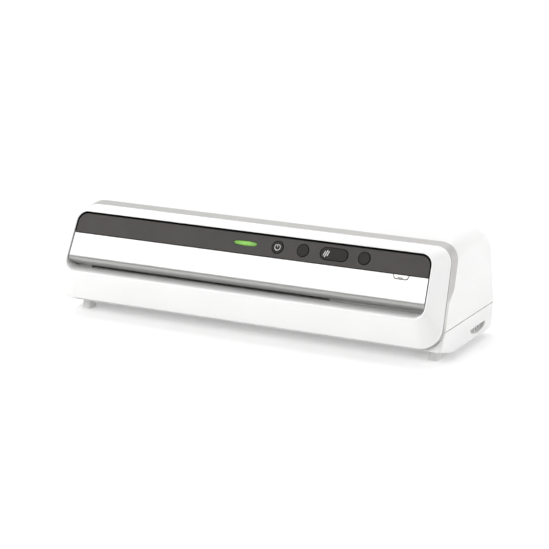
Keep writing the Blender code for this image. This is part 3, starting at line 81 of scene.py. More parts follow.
# Front bezel and trim ring
OUTER_TOP_Z = 132.5 * MM
OUTER_BOTTOM_Z = 22.1 * MM
OUTER_HALF_TOP = HALF_WIDTH - 8.2 * MM
OUTER_LEAN = 0.474
OUTER_RADIUS_TOP = 22.0 * MM
OUTER_RADIUS_BOTTOM = 25.0 * MM
RIM_TOP_Z = 129.8 * MM
LEDGE_SHARE = 0.43714  # of the body's height, up to the opening's foot
RIM_BOTTOM_Z = BODY_HEIGHT * LEDGE_SHARE
RIM_LEAN = 0.5
RIM_TOP_Y = FRONT_Y + 1.0 * MM + RIM_LEAN * (RIM_TOP_Z - RIM_BOTTOM_Z)
BEZEL_DEPTH = 31.3 * MM  # from the rim back to the outer outline, at the top
OUTER_TOP_Y = RIM_TOP_Y + BEZEL_DEPTH
RIM_HALF_TOP = OUTER_HALF_TOP - 12.2 * MM
RIM_HALF_BOTTOM = HALF_WIDTH - 17.0 * MM
RIM_RADIUS = 14.0 * MM
RIM_LIP = 2.4 * MM
BEZEL_WALL = 2.2 * MM
BEZEL_ROOF_SKIN = 0.9 * MM
HOLE_DEPTH_TOP = 8.0 * MM
HOLE_DEPTH_BOTTOM = 22.0 * MM
LIP_DEPTH = 3.0 * MM
BEZEL_NECK = 3.0 * MM
BEZEL_EDGE_CUT = 2.6 * MM
RIM_EDGE_CUT = 1.1 * MM
RING_DEPTH_TOP = 15.0 * MM
RING_DEPTH_LOW = 4.0 * MM
RING_STEP_Z = RIM_BOTTOM_Z + 8.8 * MM
RING_STEP_HEIGHT = 18.0 * MM
RING_FLARE_FRONT = 0.4 * MM
RING_FLARE_REAR = 2.0 * MM
RING_WALL = 2.6 * MM
RING_EDGE = 0.5 * MM

# Cover and base
COVER_INSET = 1.5 * MM  # from the ring's rear edge
COVER_FLARE = RING_FLARE_REAR - COVER_INSET
COVER_WALL = 2.5 * MM
COVER_SEAM = 0.6 * MM
COVER_RISE_LENGTH = 52.0 * MM
COVER_REAR_RADIUS = 30.0 * MM
COVER_CORNER_RADIUS = 6.0 * MM
SEAM_CHAMFER = 0.15 * MM
SEAM_STEP = 0.35 * MM  # each edge of the seam stands back by this, outside its lip
SEAM_DEPTH = 2.1 * MM
PARTING_Z = 40.5 * MM
BASE_UNDERSIDE_Z = 5.0 * MM
BASE_WALL = 2.5 * MM
BASE_REAR_DRAFT = 6.0 * MM
BASE_EDGE_RADIUS = 9.0 * MM
BASE_FRONT_RADIUS = 4.0 * MM
CHIN_TOP_Z = OUTER_BOTTOM_Z - 3.1 * MM
CHIN_REAR_Y = FRONT_Y + 70.6 * MM
CHIN_WALL_RUN = 3
GRIP_LENGTH = 46.0 * MM
GRIP_MIDDLE_Y = REAR_Y - 77.1 * MM + GRIP_LENGTH / 2
GRIP_TOP_Z = 23.0 * MM
GRIP_HEIGHT = 8.6 * MM
GRIP_POCKET_DEPTH = 9.0 * MM
GRIP_BELLY = 0.92  # power of the lower edge's curve: 1 is a half ellipse
GRIP_RIBS = 5
GRIP_SKIN = 1.0 * MM
GLAND_HOLE_RADIUS = 7.0 * MM
GLAND_HOLE_LENGTH = 20.0 * MM
GLAND_HOLE_FRONT = 12.0 * MM
GLAND_NECK_RADIUS = 6.7 * MM
GLAND_BORE_RADIUS = 3.6 * MM

# Fascia, panel and controls
FASCIA_HEIGHT = 24.2 * MM
FASCIA_BOTTOM_Z = RIM_TOP_Z - FASCIA_HEIGHT
FASCIA_RECESS = 1.2 * MM
FASCIA_THICKNESS = 2.5 * MM
FASCIA_EASE = 0.4 * MM  # opens the shadow gap round the band
# A near-black strip in the gap round the band: painted shade that makes the gap read dark
SHADE_STRIP_CLEARANCE = 0.15 * MM  # from the near-black strip to the bezel
SHADE_STRIP_LIP = 0.8 * MM  # thickness of its lip, which lines the bezel's opening
SHADE_STRIP_FRONT = 1.5 * MM  # from the rim plane back to that lip
SHADE_STRIP_BACK = 4.4 * MM  # from the rim plane back to the strip's face
SHADE_STRIP_WIDTH = 5.0 * MM
SHADE_STRIP_THICKNESS = 0.8 * MM
PANEL_THICKNESS = 2.4 * MM
PANEL_CURVE_Z = RIM_BOTTOM_Z + 18.6 * MM
PANEL_CURVE_DEPTH = 12.3 * MM
PANEL_TOE_Y = RIM_TOP_Y - RIM_LEAN * (RIM_TOP_Z - PANEL_CURVE_Z) + PANEL_CURVE_DEPTH
SLOT_HEIGHT = 4.2 * MM
PANEL_TOE_Z = RIM_BOTTOM_Z + SLOT_HEIGHT
PANEL_CURVE_PULL = 9.0 * MM
PANEL_TAIL = 12.0 * MM
PANEL_LIP = 1.3 * MM  # how far the toe's lip hangs into the mouth of the slot
CONTROL_Z = RIM_TOP_Z - 12.6 * MM
KEY_RADIUS = 7.6 * MM
PILL_LENGTH = 36.2 * MM
KEY_STAND = 0.6 * MM
KEY_DISH = 0.12 * MM  # the middle of a key's top is this much lower
FLANGE = 1.2 * MM
FLANGE_THICKNESS = 1.0 * MM
KEYS = (("power_button", 42.4 * MM, 2 * KEY_RADIUS), ("reverse_button", 76.3 * MM, 2 * KEY_RADIUS),
        ("mode_button", 117.2 * MM, PILL_LENGTH), ("select_button", 156.6 * MM, 2 * KEY_RADIUS))
LENS_X = -1.2 * MM
ICON_THICKNESS = 0.05 * MM
ICON_SINK = 0.2 * MM  # the marks reach this far into the key
POWER_MARK_RADIUS = 3.6 * MM
POWER_MARK_HALF = 0.33 * MM  # half the width of the ring's line
POWER_MARK_GAP = math.radians(28)  # on each side of the ring's top
MODE_MARK_X = 10.0 * MM  # from the key's middle to the left
LENS_LENGTH = 31.0 * MM
LENS_HEIGHT = 5.2 * MM
TAB_X = HALF_WIDTH - 54.6 * MM
TAB_WIDTH = 20.0 * MM
TAB_HEIGHT = 5.6 * MM
TAB_CORNER = 3.2 * MM
TAB_SLANT = 1.8 * MM
TAB_EASE = 0.25 * MM  # opens the gap round the tab, on both sides
SLOT_LEFT_X = 43.6 * MM - HALF_WIDTH
SLOT_RIGHT_X = HALF_WIDTH - 146.6 * MM
LEDGE_THICKNESS = 2.2 * MM
LEDGE_REACH = 36.0 * MM
LEDGE_REAR_Y = PANEL_TOE_Y + LEDGE_REACH
NIP_Z = (RIM_BOTTOM_Z + PANEL_TOE_Z) / 2
EXIT_SLOT_HEIGHT = 6.0 * MM
EXIT_SLOT_RADIUS = 1.0 * MM
SLOT_CENTRE_X = (SLOT_LEFT_X + SLOT_RIGHT_X) / 2
POUCH_HALVES = (55.0 * MM, 77.0 * MM, 110.0 * MM, 152.0 * MM)
SIZE_MARKS = [SLOT_CENTRE_X + side * half for half in POUCH_HALVES for side in (-1, 1)]
SIZE_MARK_SETBACK = 5.0 * MM
SIZE_MARK_LENGTH = 9.0 * MM
SIZE_MARK_WIDTH = 1.2 * MM

# Stage, lights and camera, in metres
FLOOR_REACH = 40.0  # to each side and in front
FLOOR_CURVE_Y = 3.0
FLOOR_CURVE_RADIUS = 2.0
FLOOR_TOP_Z = 6.0
FLOOR_GLOW = (0.17, 0.7)  # near the object and far from it
FLOOR_GLOW_REACH = (0.4, 2.4)
SKY_STRENGTH = 0.22
LIGHT_TARGET = Vector((0, 0, 0.08))
SOFTBOXES = (("overhead_softbox", (-0.2, 0.2, 1.9), (2.4, 1.4), 24),  # name, place, size, watts
             ("front_softbox", (-0.8, -1.8, 1.35), (2.6, 1.1), 34),
             ("right_softbox", (2.3, 0.6, 0.9), (1.2, 1.2), 13))
CAMERA_PLACE = (1.1183, -2.127, 0.712)
CAMERA_AZIMUTH = math.radians(27.62)
CAMERA_ELEVATION = math.radians(-15.12)
CAMERA_LENS = 131.94
CAMERA_SENSOR = 36

CORNER_STEPS = 18
GRIP_STEPS = 28
LENS_STEPS = 36
SIDE_STEPS = 40
ROUND_STEPS = 64
SHARP_ANGLE = math.radians(40)
FACE_UP = Vector((0, RIM_LEAN, 1)).normalized()
FACE_OUT = Vector((0, -1, RIM_LEAN)).normalized()
RIGHT = Vector((1, 0, 0))
BACK = Vector((0, 1, 0))
UP = Vector((0, 0, 1))
SLOT_OF = {row["node"]: row["material_slot"] for row in frame["record"]["subparts"]}


# --- mesh helpers
def lerp(low, high, share):
    return low + (high - low) * share


def smooth(low, high, value):
    share = min(1.0, max(0.0, (value - low) / (high - low)))
    return share * share * (3 - 2 * share)


def placed(name, shape):
    """Turn a bmesh into an object in the scene."""
    mesh = bpy.data.meshes.new(name)
    shape.to_mesh(mesh)
    shape.free()
    item = bpy.data.objects.new(name, mesh)
    bpy.context.scene.collection.objects.link(item)
    return item


def add_piece(name, shape, material, node):
    """Turn a bmesh into a shown piece, which takes a CAD node's body and the given material."""
    bmesh.ops.recalc_face_normals(shape, faces=shape.faces)
    piece = placed(name, shape)
    piece.data.shade_smooth()
    piece.data.set_sharp_from_angle(angle=SHARP_ANGLE)
    piece.data.materials.append(material)
    piece.modifiers.new("Even normals", "WEIGHTED_NORMAL").keep_sharp = True
    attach(piece, frame["nodes"][node]["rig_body"])
    return piece


def shell(name, shape, material, node):
    """A piece that is shown in place of a CAD node."""
    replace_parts(add_piece(name, shape, material, node), node)


def bridge(shape, loop_a, loop_b, closed=True):
    count = len(loop_a)
    for index in range(count if closed else count - 1):
        after = (index + 1) % count
        shape.faces.new((loop_a[index], loop_a[after], loop_b[after], loop_b[index]))


def ring_solid(loops, closed=True):
    """Loops bridged in order and back to the first: a frame, or a bar with closed ends if they are open."""
    shape = bmesh.new()
    made = [[shape.verts.new(point) for point in loop] for loop in loops]
    for loop_a, loop_b in zip(made, made[1:] + made[:1]):
        bridge(shape, loop_a, loop_b, closed)
    for end in () if closed else (0, -1):
        shape.faces.new([loop[end] for loop in made])
    return shape


def capped_solid(loops):
    """A solid through closed loops, with a flat cap at each end."""
    shape = bmesh.new()
    made = [[shape.verts.new(point) for point in loop] for loop in loops]
    for loop_a, loop_b in zip(made, made[1:]):
        bridge(shape, loop_a, loop_b)
    shape.faces.new(list(reversed(made[0])))
    shape.faces.new(made[-1])
    return shape


def joined(shapes):
    """One bmesh that holds several, so that they show as one piece."""
    whole = shapes[0]
    for shape in shapes[1:]:
        mesh = bpy.data.meshes.new("part")
        shape.to_mesh(mesh)
        shape.free()
        whole.from_mesh(mesh)
        bpy.data.meshes.remove(mesh)
    return whole


def cut(shape, cutters):
    """The shape with each cutter taken out of it."""
    items = []
    for solid in (shape, *cutters):
        bmesh.ops.recalc_face_normals(solid, faces=solid.faces)
        items.append(placed("cut_item", solid))
    blank = items[0]
    for tool in items[1:]:
        change = blank.modifiers.new("cut", "BOOLEAN")
        change.operation = "DIFFERENCE"
        change.solver = "EXACT"
        change.object = tool
    bpy.context.view_layer.update()
    done = bpy.data.meshes.new_from_object(blank.evaluated_get(bpy.context.evaluated_depsgraph_get()))
    result = bmesh.new()
    result.from_mesh(done)
    for item in items:
        bpy.data.objects.remove(item, do_unlink=True)
    return result


def turned(centre, axis, stations):
    """Loops of a round form: stations are (distance along the axis, radius)."""
    up = axis.cross(RIGHT).normalized()
    angles = [2 * math.pi * step / ROUND_STEPS for step in range(ROUND_STEPS)]
    return [[centre + axis * along + RIGHT * radius * math.cos(angle) + up * radius * math.sin(angle)
             for angle in angles] for along, radius in stations]


# --- leaning outlines
def corner_arc(corner, toward, away, radius, steps=CORNER_STEPS):
    """Points of a fillet at a corner of a 2-D outline that runs clockwise."""
    angle = math.acos(max(-1.0, min(1.0, toward.dot(away))))
    start = corner - toward * radius * math.tan(angle / 2)
    centre = start + Vector((toward.y, -toward.x)) * radius
    first = math.atan2(start.y - centre.y, start.x - centre.x)
    turns = [first - angle * step / steps for step in range(steps + 1)]
    return [centre + Vector((math.cos(turn), math.sin(turn))) * radius for turn in turns]


def frame_outline(half_top, half_bottom, z_top, z_bottom, radius_top, radius_bottom, top_y, lean, plane_z):
    """A rounded trapezoid on the plane y = top_y - lean * (plane_z - z), symmetric about X = 0."""
    stretch = math.sqrt(1 + lean * lean)
    top = Vector((half_top, 0.0))
    bottom = Vector((half_bottom, -(z_top - z_bottom) * stretch))
    down = (bottom - top).normalized()
    top_corner = corner_arc(top, Vector((1.0, 0.0)), down, radius_top)
    bottom_corner = corner_arc(bottom, down, Vector((-1.0, 0.0)), radius_bottom)
    side = [lerp(top_corner[-1], bottom_corner[0], step / SIDE_STEPS) for step in range(1, SIDE_STEPS)]
    right = top_corner + side + bottom_corner
    flat = right + [Vector((-point.x, point.y)) for point in reversed(right)]
    places = [(point.x, z_top + point.y / stretch) for point in flat]
    return [Vector((x, top_y - lean * (plane_z - z), z)) for x, z in places]


def outer_outline(inset=0.0):
    return frame_outline(OUTER_HALF_TOP - inset, HALF_WIDTH - inset, OUTER_TOP_Z - inset,
                         OUTER_BOTTOM_Z + inset, OUTER_RADIUS_TOP - inset,
                         OUTER_RADIUS_BOTTOM - inset, OUTER_TOP_Y, OUTER_LEAN, OUTER_TOP_Z)


def rim_outline(side_inset=0.0, top_inset=None):
    top_inset = side_inset if top_inset is None else top_inset
    radius = RIM_RADIUS - side_inset
    return frame_outline(RIM_HALF_TOP - side_inset, RIM_HALF_BOTTOM - side_inset,
                         RIM_TOP_Z - top_inset, RIM_BOTTOM_Z + side_inset, radius, radius,
                         RIM_TOP_Y, RIM_LEAN, RIM_TOP_Z)


def shifted(loop, distance):
    """Move each point of a loop back by a distance, or by a function of its height."""
    return [point + Vector((0, distance(point.z) if callable(distance) else distance, 0)) for point in loop]


def rounded_corner(before, corner, after, cut_length, steps):
    """Loops that round the edge at corner between the loops before and after it."""
    loops = []
    for step in range(steps + 1):
        share = step / steps
        loop = []
        for start, middle, end in zip(before, corner, after):
            first = middle + (start - middle).normalized() * cut_length
            last = middle + (end - middle).normalized() * cut_length
            loop.append(first * (1 - share) ** 2 + middle * 2 * share * (1 - share) + last * share ** 2)
        loops.append(loop)
    return loops


def hole_depth(z):
    return lerp(HOLE_DEPTH_BOTTOM, HOLE_DEPTH_TOP, (z - RIM_BOTTOM_Z) / (RIM_TOP_Z - RIM_BOTTOM_Z))


def ring_depth(z):
    return lerp(RING_DEPTH_LOW, RING_DEPTH_TOP, smooth(RING_STEP_Z, RING_STEP_Z + RING_STEP_HEIGHT, z))


def outer_plane_y(z):
    return OUTER_TOP_Y - OUTER_LEAN * (OUTER_TOP_Z - z)


def outer_half(z):
    return lerp(OUTER_HALF_TOP, HALF_WIDTH, (OUTER_TOP_Z - z) / (OUTER_TOP_Z - OUTER_BOTTOM_Z))


def casing_half():
    """Half width of the cover and base where they meet."""
    return outer_half(PARTING_Z) + COVER_FLARE


def rim_plane_y(z):
    return RIM_TOP_Y - RIM_LEAN * (RIM_TOP_Z - z)


def rim_edge(z):
    """Half width of the opening at a height, with its rounded lower corners."""
    half = lerp(RIM_HALF_TOP, RIM_HALF_BOTTOM, (RIM_TOP_Z - z) / (RIM_TOP_Z - RIM_BOTTOM_Z))
    inside = max(0.0, RIM_RADIUS - (z - RIM_BOTTOM_Z) * math.sqrt(1 + RIM_LEAN * RIM_LEAN))
    return half - RIM_RADIUS + math.sqrt(RIM_RADIUS ** 2 - inside ** 2)


def cover_front_y(z):
    return outer_plane_y(z) + ring_depth(z) + GAP + COVER_SEAM


def face_point(x, z, stand=0.0):
    """A point on the rim plane, stood off along its outward normal."""
    return Vector((x, rim_plane_y(z), z)) + FACE_OUT * stand


def face_loop(outline, centre, stand):
    return [centre + Vector((x, 0, 0)) + FACE_UP * up + FACE_OUT * stand for x, up in outline]


# --- materials
def grey(level):
    return (level, level, level)


def set_inputs(tree, node, inputs):
    """Link a node's inputs, by name or number, to sockets, or set them to values."""
    for name, value in inputs.items():
        if isinstance(value, bpy.types.NodeSocket):
            tree.links.new(value, node.inputs[name])
        else:
            node.inputs[name].default_value = value
    return node


def add_node(tree, kind, inputs):
    return set_inputs(tree, tree.nodes.new(kind), inputs)


def object_place(tree):
    return tree.nodes.new("ShaderNodeTexCoord").outputs["Object"]


def coordinates(tree, scale=(1, 1, 1)):
    inputs = {"Vector": object_place(tree), "Scale": scale}
    return add_node(tree, "ShaderNodeMapping", inputs).outputs["Vector"]


def noise(tree, scale, detail, stretch=(1, 1, 1)):
    inputs = {"Vector": coordinates(tree, stretch), "Scale": scale, "Detail": detail}
    return add_node(tree, "ShaderNodeTexNoise", inputs).outputs["Fac"]


def spread(tree, value, low, high, into, start=0.0, end=1.0):
    """Drive a socket from low to high, as a value goes from start to end."""
    scale = add_node(tree, "ShaderNodeMapRange", {"Value": value, "From Min": start, "From Max": end,
                                                  "To Min": low, "To Max": high})
    tree.links.new(scale.outputs["Result"], into)
    return scale


def colours(tree, shader, value, dark, light, start=0.3, end=0.7):
    """Drive a shader's base colour from dark to light, as a value goes from start to end."""
    ramp = add_node(tree, "ShaderNodeValToRGB", {"Fac": value})
    for element, position, colour in zip(ramp.color_ramp.elements, (start, end), (dark, light)):
        element.position = position
        element.color = (*colour, 1)
    tree.links.new(ramp.outputs["Color"], shader.inputs["Base Color"])


def bumps(tree, onto, value, strength, depth):
    """Bumps on the normal of a shader, or of another bump node."""
    bump = add_node(tree, "ShaderNodeBump", {"Height": value, "Strength": strength, "Distance": depth})
    tree.links.new(bump.outputs["Normal"], onto.inputs["Normal"])
    return bump


def new_material(name, metallic=0.0, coat=0.0, coat_roughness=0.1, specular=0.5):
    material = bpy.data.materials.new(name)
    material.use_nodes = True
    shader = material.node_tree.nodes["Principled BSDF"]
    set_inputs(material.node_tree, shader, {"Metallic": metallic, "Coat Weight": coat,
                                            "Coat Roughness": coat_roughness, "Specular IOR Level": specular})
    return material, material.node_tree, shader


def moulded_plastic(name, dark, light, roughness, grain=1400, depth=0.02 * MM, handled=0.0, specular=0.5):
    """Fine spark texture, a slow change of tone, and edges polished by handling."""
    material, tree, shader = new_material(name, specular=specular)
    colours(tree, shader, noise(tree, 9, 3), dark, light)
    gloss = noise(tree, 70, 4)
    if handled:
        form = tree.nodes.new("ShaderNodeNewGeometry")
        worn = add_node(tree, "ShaderNodeMath", {0: gloss})
        worn.operation = "SUBTRACT"
        worn.use_clamp = True
        spread(tree, form.outputs["Pointiness"], 0.0, handled, worn.inputs[1], 0.52, 0.62)
        gloss = worn.outputs["Value"]
    spread(tree, gloss, roughness - 0.07, roughness + 0.07, shader.inputs["Roughness"])
    slow = bumps(tree, shader, noise(tree, 45, 1), 0.12, 0.05 * MM)
    bumps(tree, slow, noise(tree, grain, 3), 0.25, depth)
    return material


def metal(name, dark, light, roughness, stretch, depth=0.01 * MM, scale=600):
    """Metal with the fine lines of its rolling, drawing or turning along one direction."""
    material, tree, shader = new_material(name, metallic=1.0)
    lines = noise(tree, scale, 4, stretch)
    colours(tree, shader, noise(tree, 30, 3), dark, light)
    spread(tree, lines, roughness - 0.1, roughness + 0.12, shader.inputs["Roughness"])
    bumps(tree, shader, lines, 0.3, depth)
    return material


def silver_paint():
    """Satin silver paint: fine flakes that tilt a little, under a soft clear coat."""
    material, tree, shader = new_material("silver_paint", metallic=0.85, coat=0.25, coat_roughness=0.3)
    flakes = noise(tree, 5000, 1)
    colours(tree, shader, flakes, (0.38, 0.374, 0.368), (0.48, 0.473, 0.466))
    spread(tree, noise(tree, 80, 4), 0.33, 0.44, shader.inputs["Roughness"])
    bumps(tree, shader, flakes, 0.25, 0.01 * MM)
    return material


def pearl_paint():
    """Smooth pale silver lacquer under a glossy coat: white where it faces the light, grey below."""
    material, tree, shader = new_material("pearl_paint", metallic=0.8, coat=0.4, coat_roughness=0.12)
    flakes = noise(tree, 4200, 1)
    colours(tree, shader, flakes, (0.34, 0.337, 0.333), (0.42, 0.417, 0.413), 0.35, 0.65)
    spread(tree, noise(tree, 60, 4), 0.27, 0.35, shader.inputs["Roughness"])
    bumps(tree, shader, noise(tree, 35, 1), 0.1, 0.05 * MM)
    return material


def lit_lens():
    """Green light pipe: brightest over the lamp in its middle, with moulded prisms across it."""
    material, tree, shader = new_material("green_light_pipe", coat=0.1, specular=0.25)
    split = add_node(tree, "ShaderNodeSeparateXYZ", {"Vector": object_place(tree)})
    away = add_node(tree, "ShaderNodeMath", {0: split.outputs["X"]})
    away.operation = "ABSOLUTE"
    prisms = add_node(tree, "ShaderNodeTexWave", {"Vector": coordinates(tree, (1, 0, 0)), "Scale": 160,
                                                  "Distortion": 0.4})
    mixed = tree.nodes.new("ShaderNodeMath")
    mixed.operation = "MULTIPLY"
    glow = spread(tree, away.outputs["Value"], 0.30, 0.08, mixed.inputs[0], end=LENS_LENGTH / 2)
    glow.interpolation_type = "SMOOTHSTEP"
    spread(tree, prisms.outputs["Fac"], 0.8, 1.15, mixed.inputs[1])
    set_inputs(tree, shader, {"Emission Strength": mixed.outputs["Value"],
                              "Emission Color": (0.40, 0.85, 0.14, 1), "Roughness": 0.25})
    colours(tree, shader, noise(tree, 300, 2), (0.09, 0.25, 0.03), (0.14, 0.33, 0.05))
    bumps(tree, shader, prisms.outputs["Fac"], 0.4, 0.1 * MM)
    return material


def circuit_board():
    """Green solder mask over copper tracks."""
    material, tree, shader = new_material("circuit_board", coat=0.3)
    tracks = add_node(tree, "ShaderNodeTexBrick", {
        "Vector": coordinates(tree), "Scale": 90, "Mortar Size": 0.03, "Color1": (0.02, 0.16, 0.06, 1),
        "Color2": (0.03, 0.20, 0.08, 1), "Mortar": (0.08, 0.32, 0.12, 1)})
    tree.links.new(tracks.outputs["Color"], shader.inputs["Base Color"])
    spread(tree, noise(tree, 200, 3), 0.35, 0.55, shader.inputs["Roughness"])
    bumps(tree, shader, tracks.outputs["Fac"], 0.4, 0.05 * MM)
    return material


def make_materials():
    return {
        "white_housing": moulded_plastic("white_housing_plastic", (0.80, 0.80, 0.795),
                                         (0.83, 0.83, 0.825), 0.4, handled=0.3),
        "silver_trim": silver_paint(),
        "dark_fascia": moulded_plastic("dark_fascia_plastic", (0.026, 0.0225, 0.020),
                                       (0.033, 0.0285, 0.0255), 0.38, 2200, 0.012 * MM, specular=0.28),
        "key_plastic": moulded_plastic("key_plastic", (0.010, 0.009, 0.008), (0.015, 0.013, 0.012),
                                       0.44, 1800, handled=0.3, specular=0.18),
        "pearl_panel": pearl_paint(),
        "light_grey_plastic": moulded_plastic("light_grey_plastic", (0.56, 0.56, 0.55), (0.61, 0.61, 0.60),
                                              0.48, 1200),
        "foot_plastic": moulded_plastic("foot_plastic", (0.70, 0.70, 0.69), (0.75, 0.75, 0.74), 0.5, 1000),
        "green_lens": lit_lens(),
        "foot_rubber": moulded_plastic("foot_rubber", grey(0.035), grey(0.055), 0.78, 900, 0.05 * MM),
        "steel": metal("rolled_steel", (0.52, 0.53, 0.54), (0.62, 0.63, 0.64), 0.32, (1, 0.04, 1)),
        "silicone": moulded_plastic("silicone_rubber", (0.38, 0.07, 0.035), (0.45, 0.09, 0.05),
                                    0.66, 700, 0.04 * MM),
        "gear_plastic": moulded_plastic("acetal", (0.70, 0.68, 0.60), (0.76, 0.74, 0.67), 0.45, 900),
        "bush_bronze": metal("sintered_bronze", (0.42, 0.27, 0.12), (0.55, 0.37, 0.18), 0.42,
                             (1, 1, 1), 0.03 * MM, 2500),
        "motor_can": metal("zinc_plate", (0.46, 0.47, 0.48), (0.56, 0.57, 0.58), 0.36, (0.05, 1, 1)),
        "aluminium": metal("extruded_aluminium", (0.70, 0.71, 0.72), (0.78, 0.79, 0.80), 0.34,
                           (0.02, 1, 1)),
        "board_green": circuit_board(),
        "black_plastic": moulded_plastic("black_plastic", grey(0.016), grey(0.024), 0.48, 1300),
    }


# --- housing
def make_bezel(material):
    outer = outer_outline()
    neck = shifted(outer, -BEZEL_NECK)
    lip = rim_outline(-RIM_LIP)
    rim = rim_outline()
    hole_back = shifted(rim, hole_depth)
    skin = rim_outline(-BEZEL_WALL, -BEZEL_ROOF_SKIN)
    loops = rounded_corner(outer_outline(BEZEL_WALL), outer, neck, RIM_EDGE_CUT / 4, 2)
    loops += rounded_corner(outer, neck, lip, BEZEL_EDGE_CUT, 8)
    loops += rounded_corner(neck, lip, rim, RIM_EDGE_CUT, 6)
    loops += rounded_corner(lip, rim, hole_back, RIM_EDGE_CUT, 6)
    loops += [hole_back, shifted(skin, hole_depth), shifted(skin, LIP_DEPTH), outer_outline(BEZEL_WALL)]
    marks = [size_mark(x) for x in SIZE_MARKS]
    shell("front_bezel_shell", joined([ring_solid(loops)] + marks), material, "front_bezel")


def size_mark(x):
    """A plain raised line on the opening's floor, at the edge of one size of pouch."""
    front = FRONT_Y + SIZE_MARK_SETBACK
    loops = []
    for rise, grow in ((-0.2 * MM, 0.0), (0.1 * MM, 0.0), (0.25 * MM, -0.15 * MM)):
        half = SIZE_MARK_WIDTH / 2 + grow
        loops.append([Vector((x + side * half, front + run, RIM_BOTTOM_Z + rise))
                      for side, run in ((-1, -grow), (1, -grow), (1, SIZE_MARK_LENGTH + grow),
                                        (-1, SIZE_MARK_LENGTH + grow))])
    return capped_solid(loops)


def make_ring(material):
    front = shifted(outer_outline(-RING_FLARE_FRONT), GAP)
    front_inner = shifted(outer_outline(RING_WALL), GAP)
    rear, rear_inner = [shifted(outer_outline(inset), lambda z: GAP + ring_depth(z))
                        for inset in (-RING_FLARE_REAR, RING_WALL)]
    loops = rounded_corner(front_inner, front, rear, RING_EDGE, 4)
    loops += [[lerp(a, b, share) for a, b in zip(front, rear)] for share in (0.3, 0.5, 0.7)]
    loops += rounded_corner(front, rear, rear_inner, RING_EDGE, 4)
    loops += [rear_inner, front_inner]
    shell("trim_ring_band", ring_solid(loops), material, "trim_ring")


def cover_arch(y_at, top_z, shrink, wall):
    """An open arch from the right foot of the cover over the top to the left foot."""
    top = Vector((outer_half(top_z) + COVER_FLARE - shrink - wall, top_z - wall))
    foot = Vector((casing_half() - shrink - wall, PARTING_Z))
    down = (foot - top).normalized()
    corner = corner_arc(top, Vector((1.0, 0.0)), down, OUTER_RADIUS_TOP - wall)
    side = [lerp(corner[-1], foot, step / SIDE_STEPS) for step in range(1, SIDE_STEPS)]
    bevel, lip = (0.0, 0.0) if wall else (SEAM_CHAMFER, SEAM_DEPTH)
    side += [foot + Vector((0, SEAM_STEP + SEAM_CHAMFER)), foot + Vector((-bevel, SEAM_STEP)),
             foot + Vector((-lip, SEAM_STEP / 2 if wall else SEAM_STEP)), foot - Vector((lip, 0))]
    right = corner + side
    flat = list(reversed(right)) + [Vector((-point.x, point.y)) for point in right]
    return [Vector((point.x, y_at(point.y), point.y)) for point in flat]


def cover_arches(wall):
    """Arches from the trim ring to the rear face, all offset inwards by the wall."""
    front_top_z = OUTER_TOP_Z + COVER_FLARE
    rise_end_y = OUTER_TOP_Y + COVER_RISE_LENGTH
    arches = []
    rise_steps = 14
    for step in range(rise_steps + 1):
        share = step / rise_steps
        top_z = lerp(front_top_z, BODY_HEIGHT, 1 - (1 - share) ** 2)

        arches.append(cover_arch(lambda z, share=share: lerp(cover_front_y(z), rise_end_y, share),
                                 top_z, 0.0, wall))
    rear_y = REAR_Y - wall
    top_radius = COVER_REAR_RADIUS - wall
    corner_radius = COVER_CORNER_RADIUS - wall
    side_angles = [math.asin(1 - corner_radius / top_radius * (1 - math.sin(math.pi / 2 * step / 8)))
                   for step in range(9)]
    angles = [side_angles[0] * step / 10 for step in range(10)] + side_angles
    for angle in angles:
        y = rear_y - top_radius * (1 - math.sin(angle))
        top_z = BODY_HEIGHT - top_radius * (1 - math.cos(angle))
        side_run = max(0.0, y - (rear_y - corner_radius))
        shrink = corner_radius - math.sqrt(max(0.0, corner_radius ** 2 - side_run ** 2))
        arches.append(cover_arch(lambda z, y=y: y, top_z, shrink, wall))
    return arches


def make_cover(material):
    shape = bmesh.new()
    outer, inner = [[[shape.verts.new(point) for point in arch] for arch in cover_arches(wall)]
                    for wall in (0.0, COVER_WALL)]
    for skin in (outer, inner):
        for arch_a, arch_b in zip(skin, skin[1:]):
            bridge(shape, arch_a, arch_b, closed=False)
        shape.faces.new(skin[-1])
    bridge(shape, outer[0], inner[0], closed=False)
    for end in (0, -1):
        bridge(shape, [arch[end] for arch in outer], [arch[end] for arch in inner], closed=False)
    shape.faces.new((outer[-1][0], outer[-1][-1], inner[-1][-1], inner[-1][0]))
    shell("top_cover_shell", cut(shape, [exit_slot_cutter()]), material, "top_cover")


def round_box(half, low, high, low_radius, high_radius, steps=CORNER_STEPS):
    """A rounded rectangle as 2-D points, clockwise from its upper right corner."""
    points = []
    for corner, toward, away, radius in (((half, high), (1, 0), (0, -1), high_radius),
                                         ((half, low), (0, -1), (-1, 0), low_radius),
                                         ((-half, low), (-1, 0), (0, 1), low_radius),
                                         ((-half, high), (0, 1), (1, 0), high_radius)):
        points += corner_arc(Vector(corner), Vector(toward), Vector(away), radius, steps)
    return points


def exit_slot_cutter():
    """The exit slot through the rear wall, with rounded ends and a flared mouth."""
    loops = []
    half = (SLOT_RIGHT_X - SLOT_LEFT_X) / 2
    for behind, grow in ((-2 * COVER_WALL, 0.0), (-0.5 * MM, 0.0), (-0.15 * MM, 0.15 * MM),
                         (0.2 * MM, 0.5 * MM), (2 * COVER_WALL, 0.5 * MM)):
        height = EXIT_SLOT_HEIGHT / 2 + grow
        radius = EXIT_SLOT_RADIUS + grow
        loops.append([Vector((SLOT_CENTRE_X + point.x, REAR_Y + behind, NIP_Z + point.y))
                      for point in round_box(half + grow, -height, height, radius, radius, 6)])
    return capped_solid(loops)


def plan_loop(half, front_y, rear_y, z, front_radius, rear_radius):
    """A level rounded rectangle, clockwise from the rear right corner."""
    return [Vector((point.x, point.y, z))
            for point in round_box(half, front_y, rear_y, front_radius, rear_radius)]


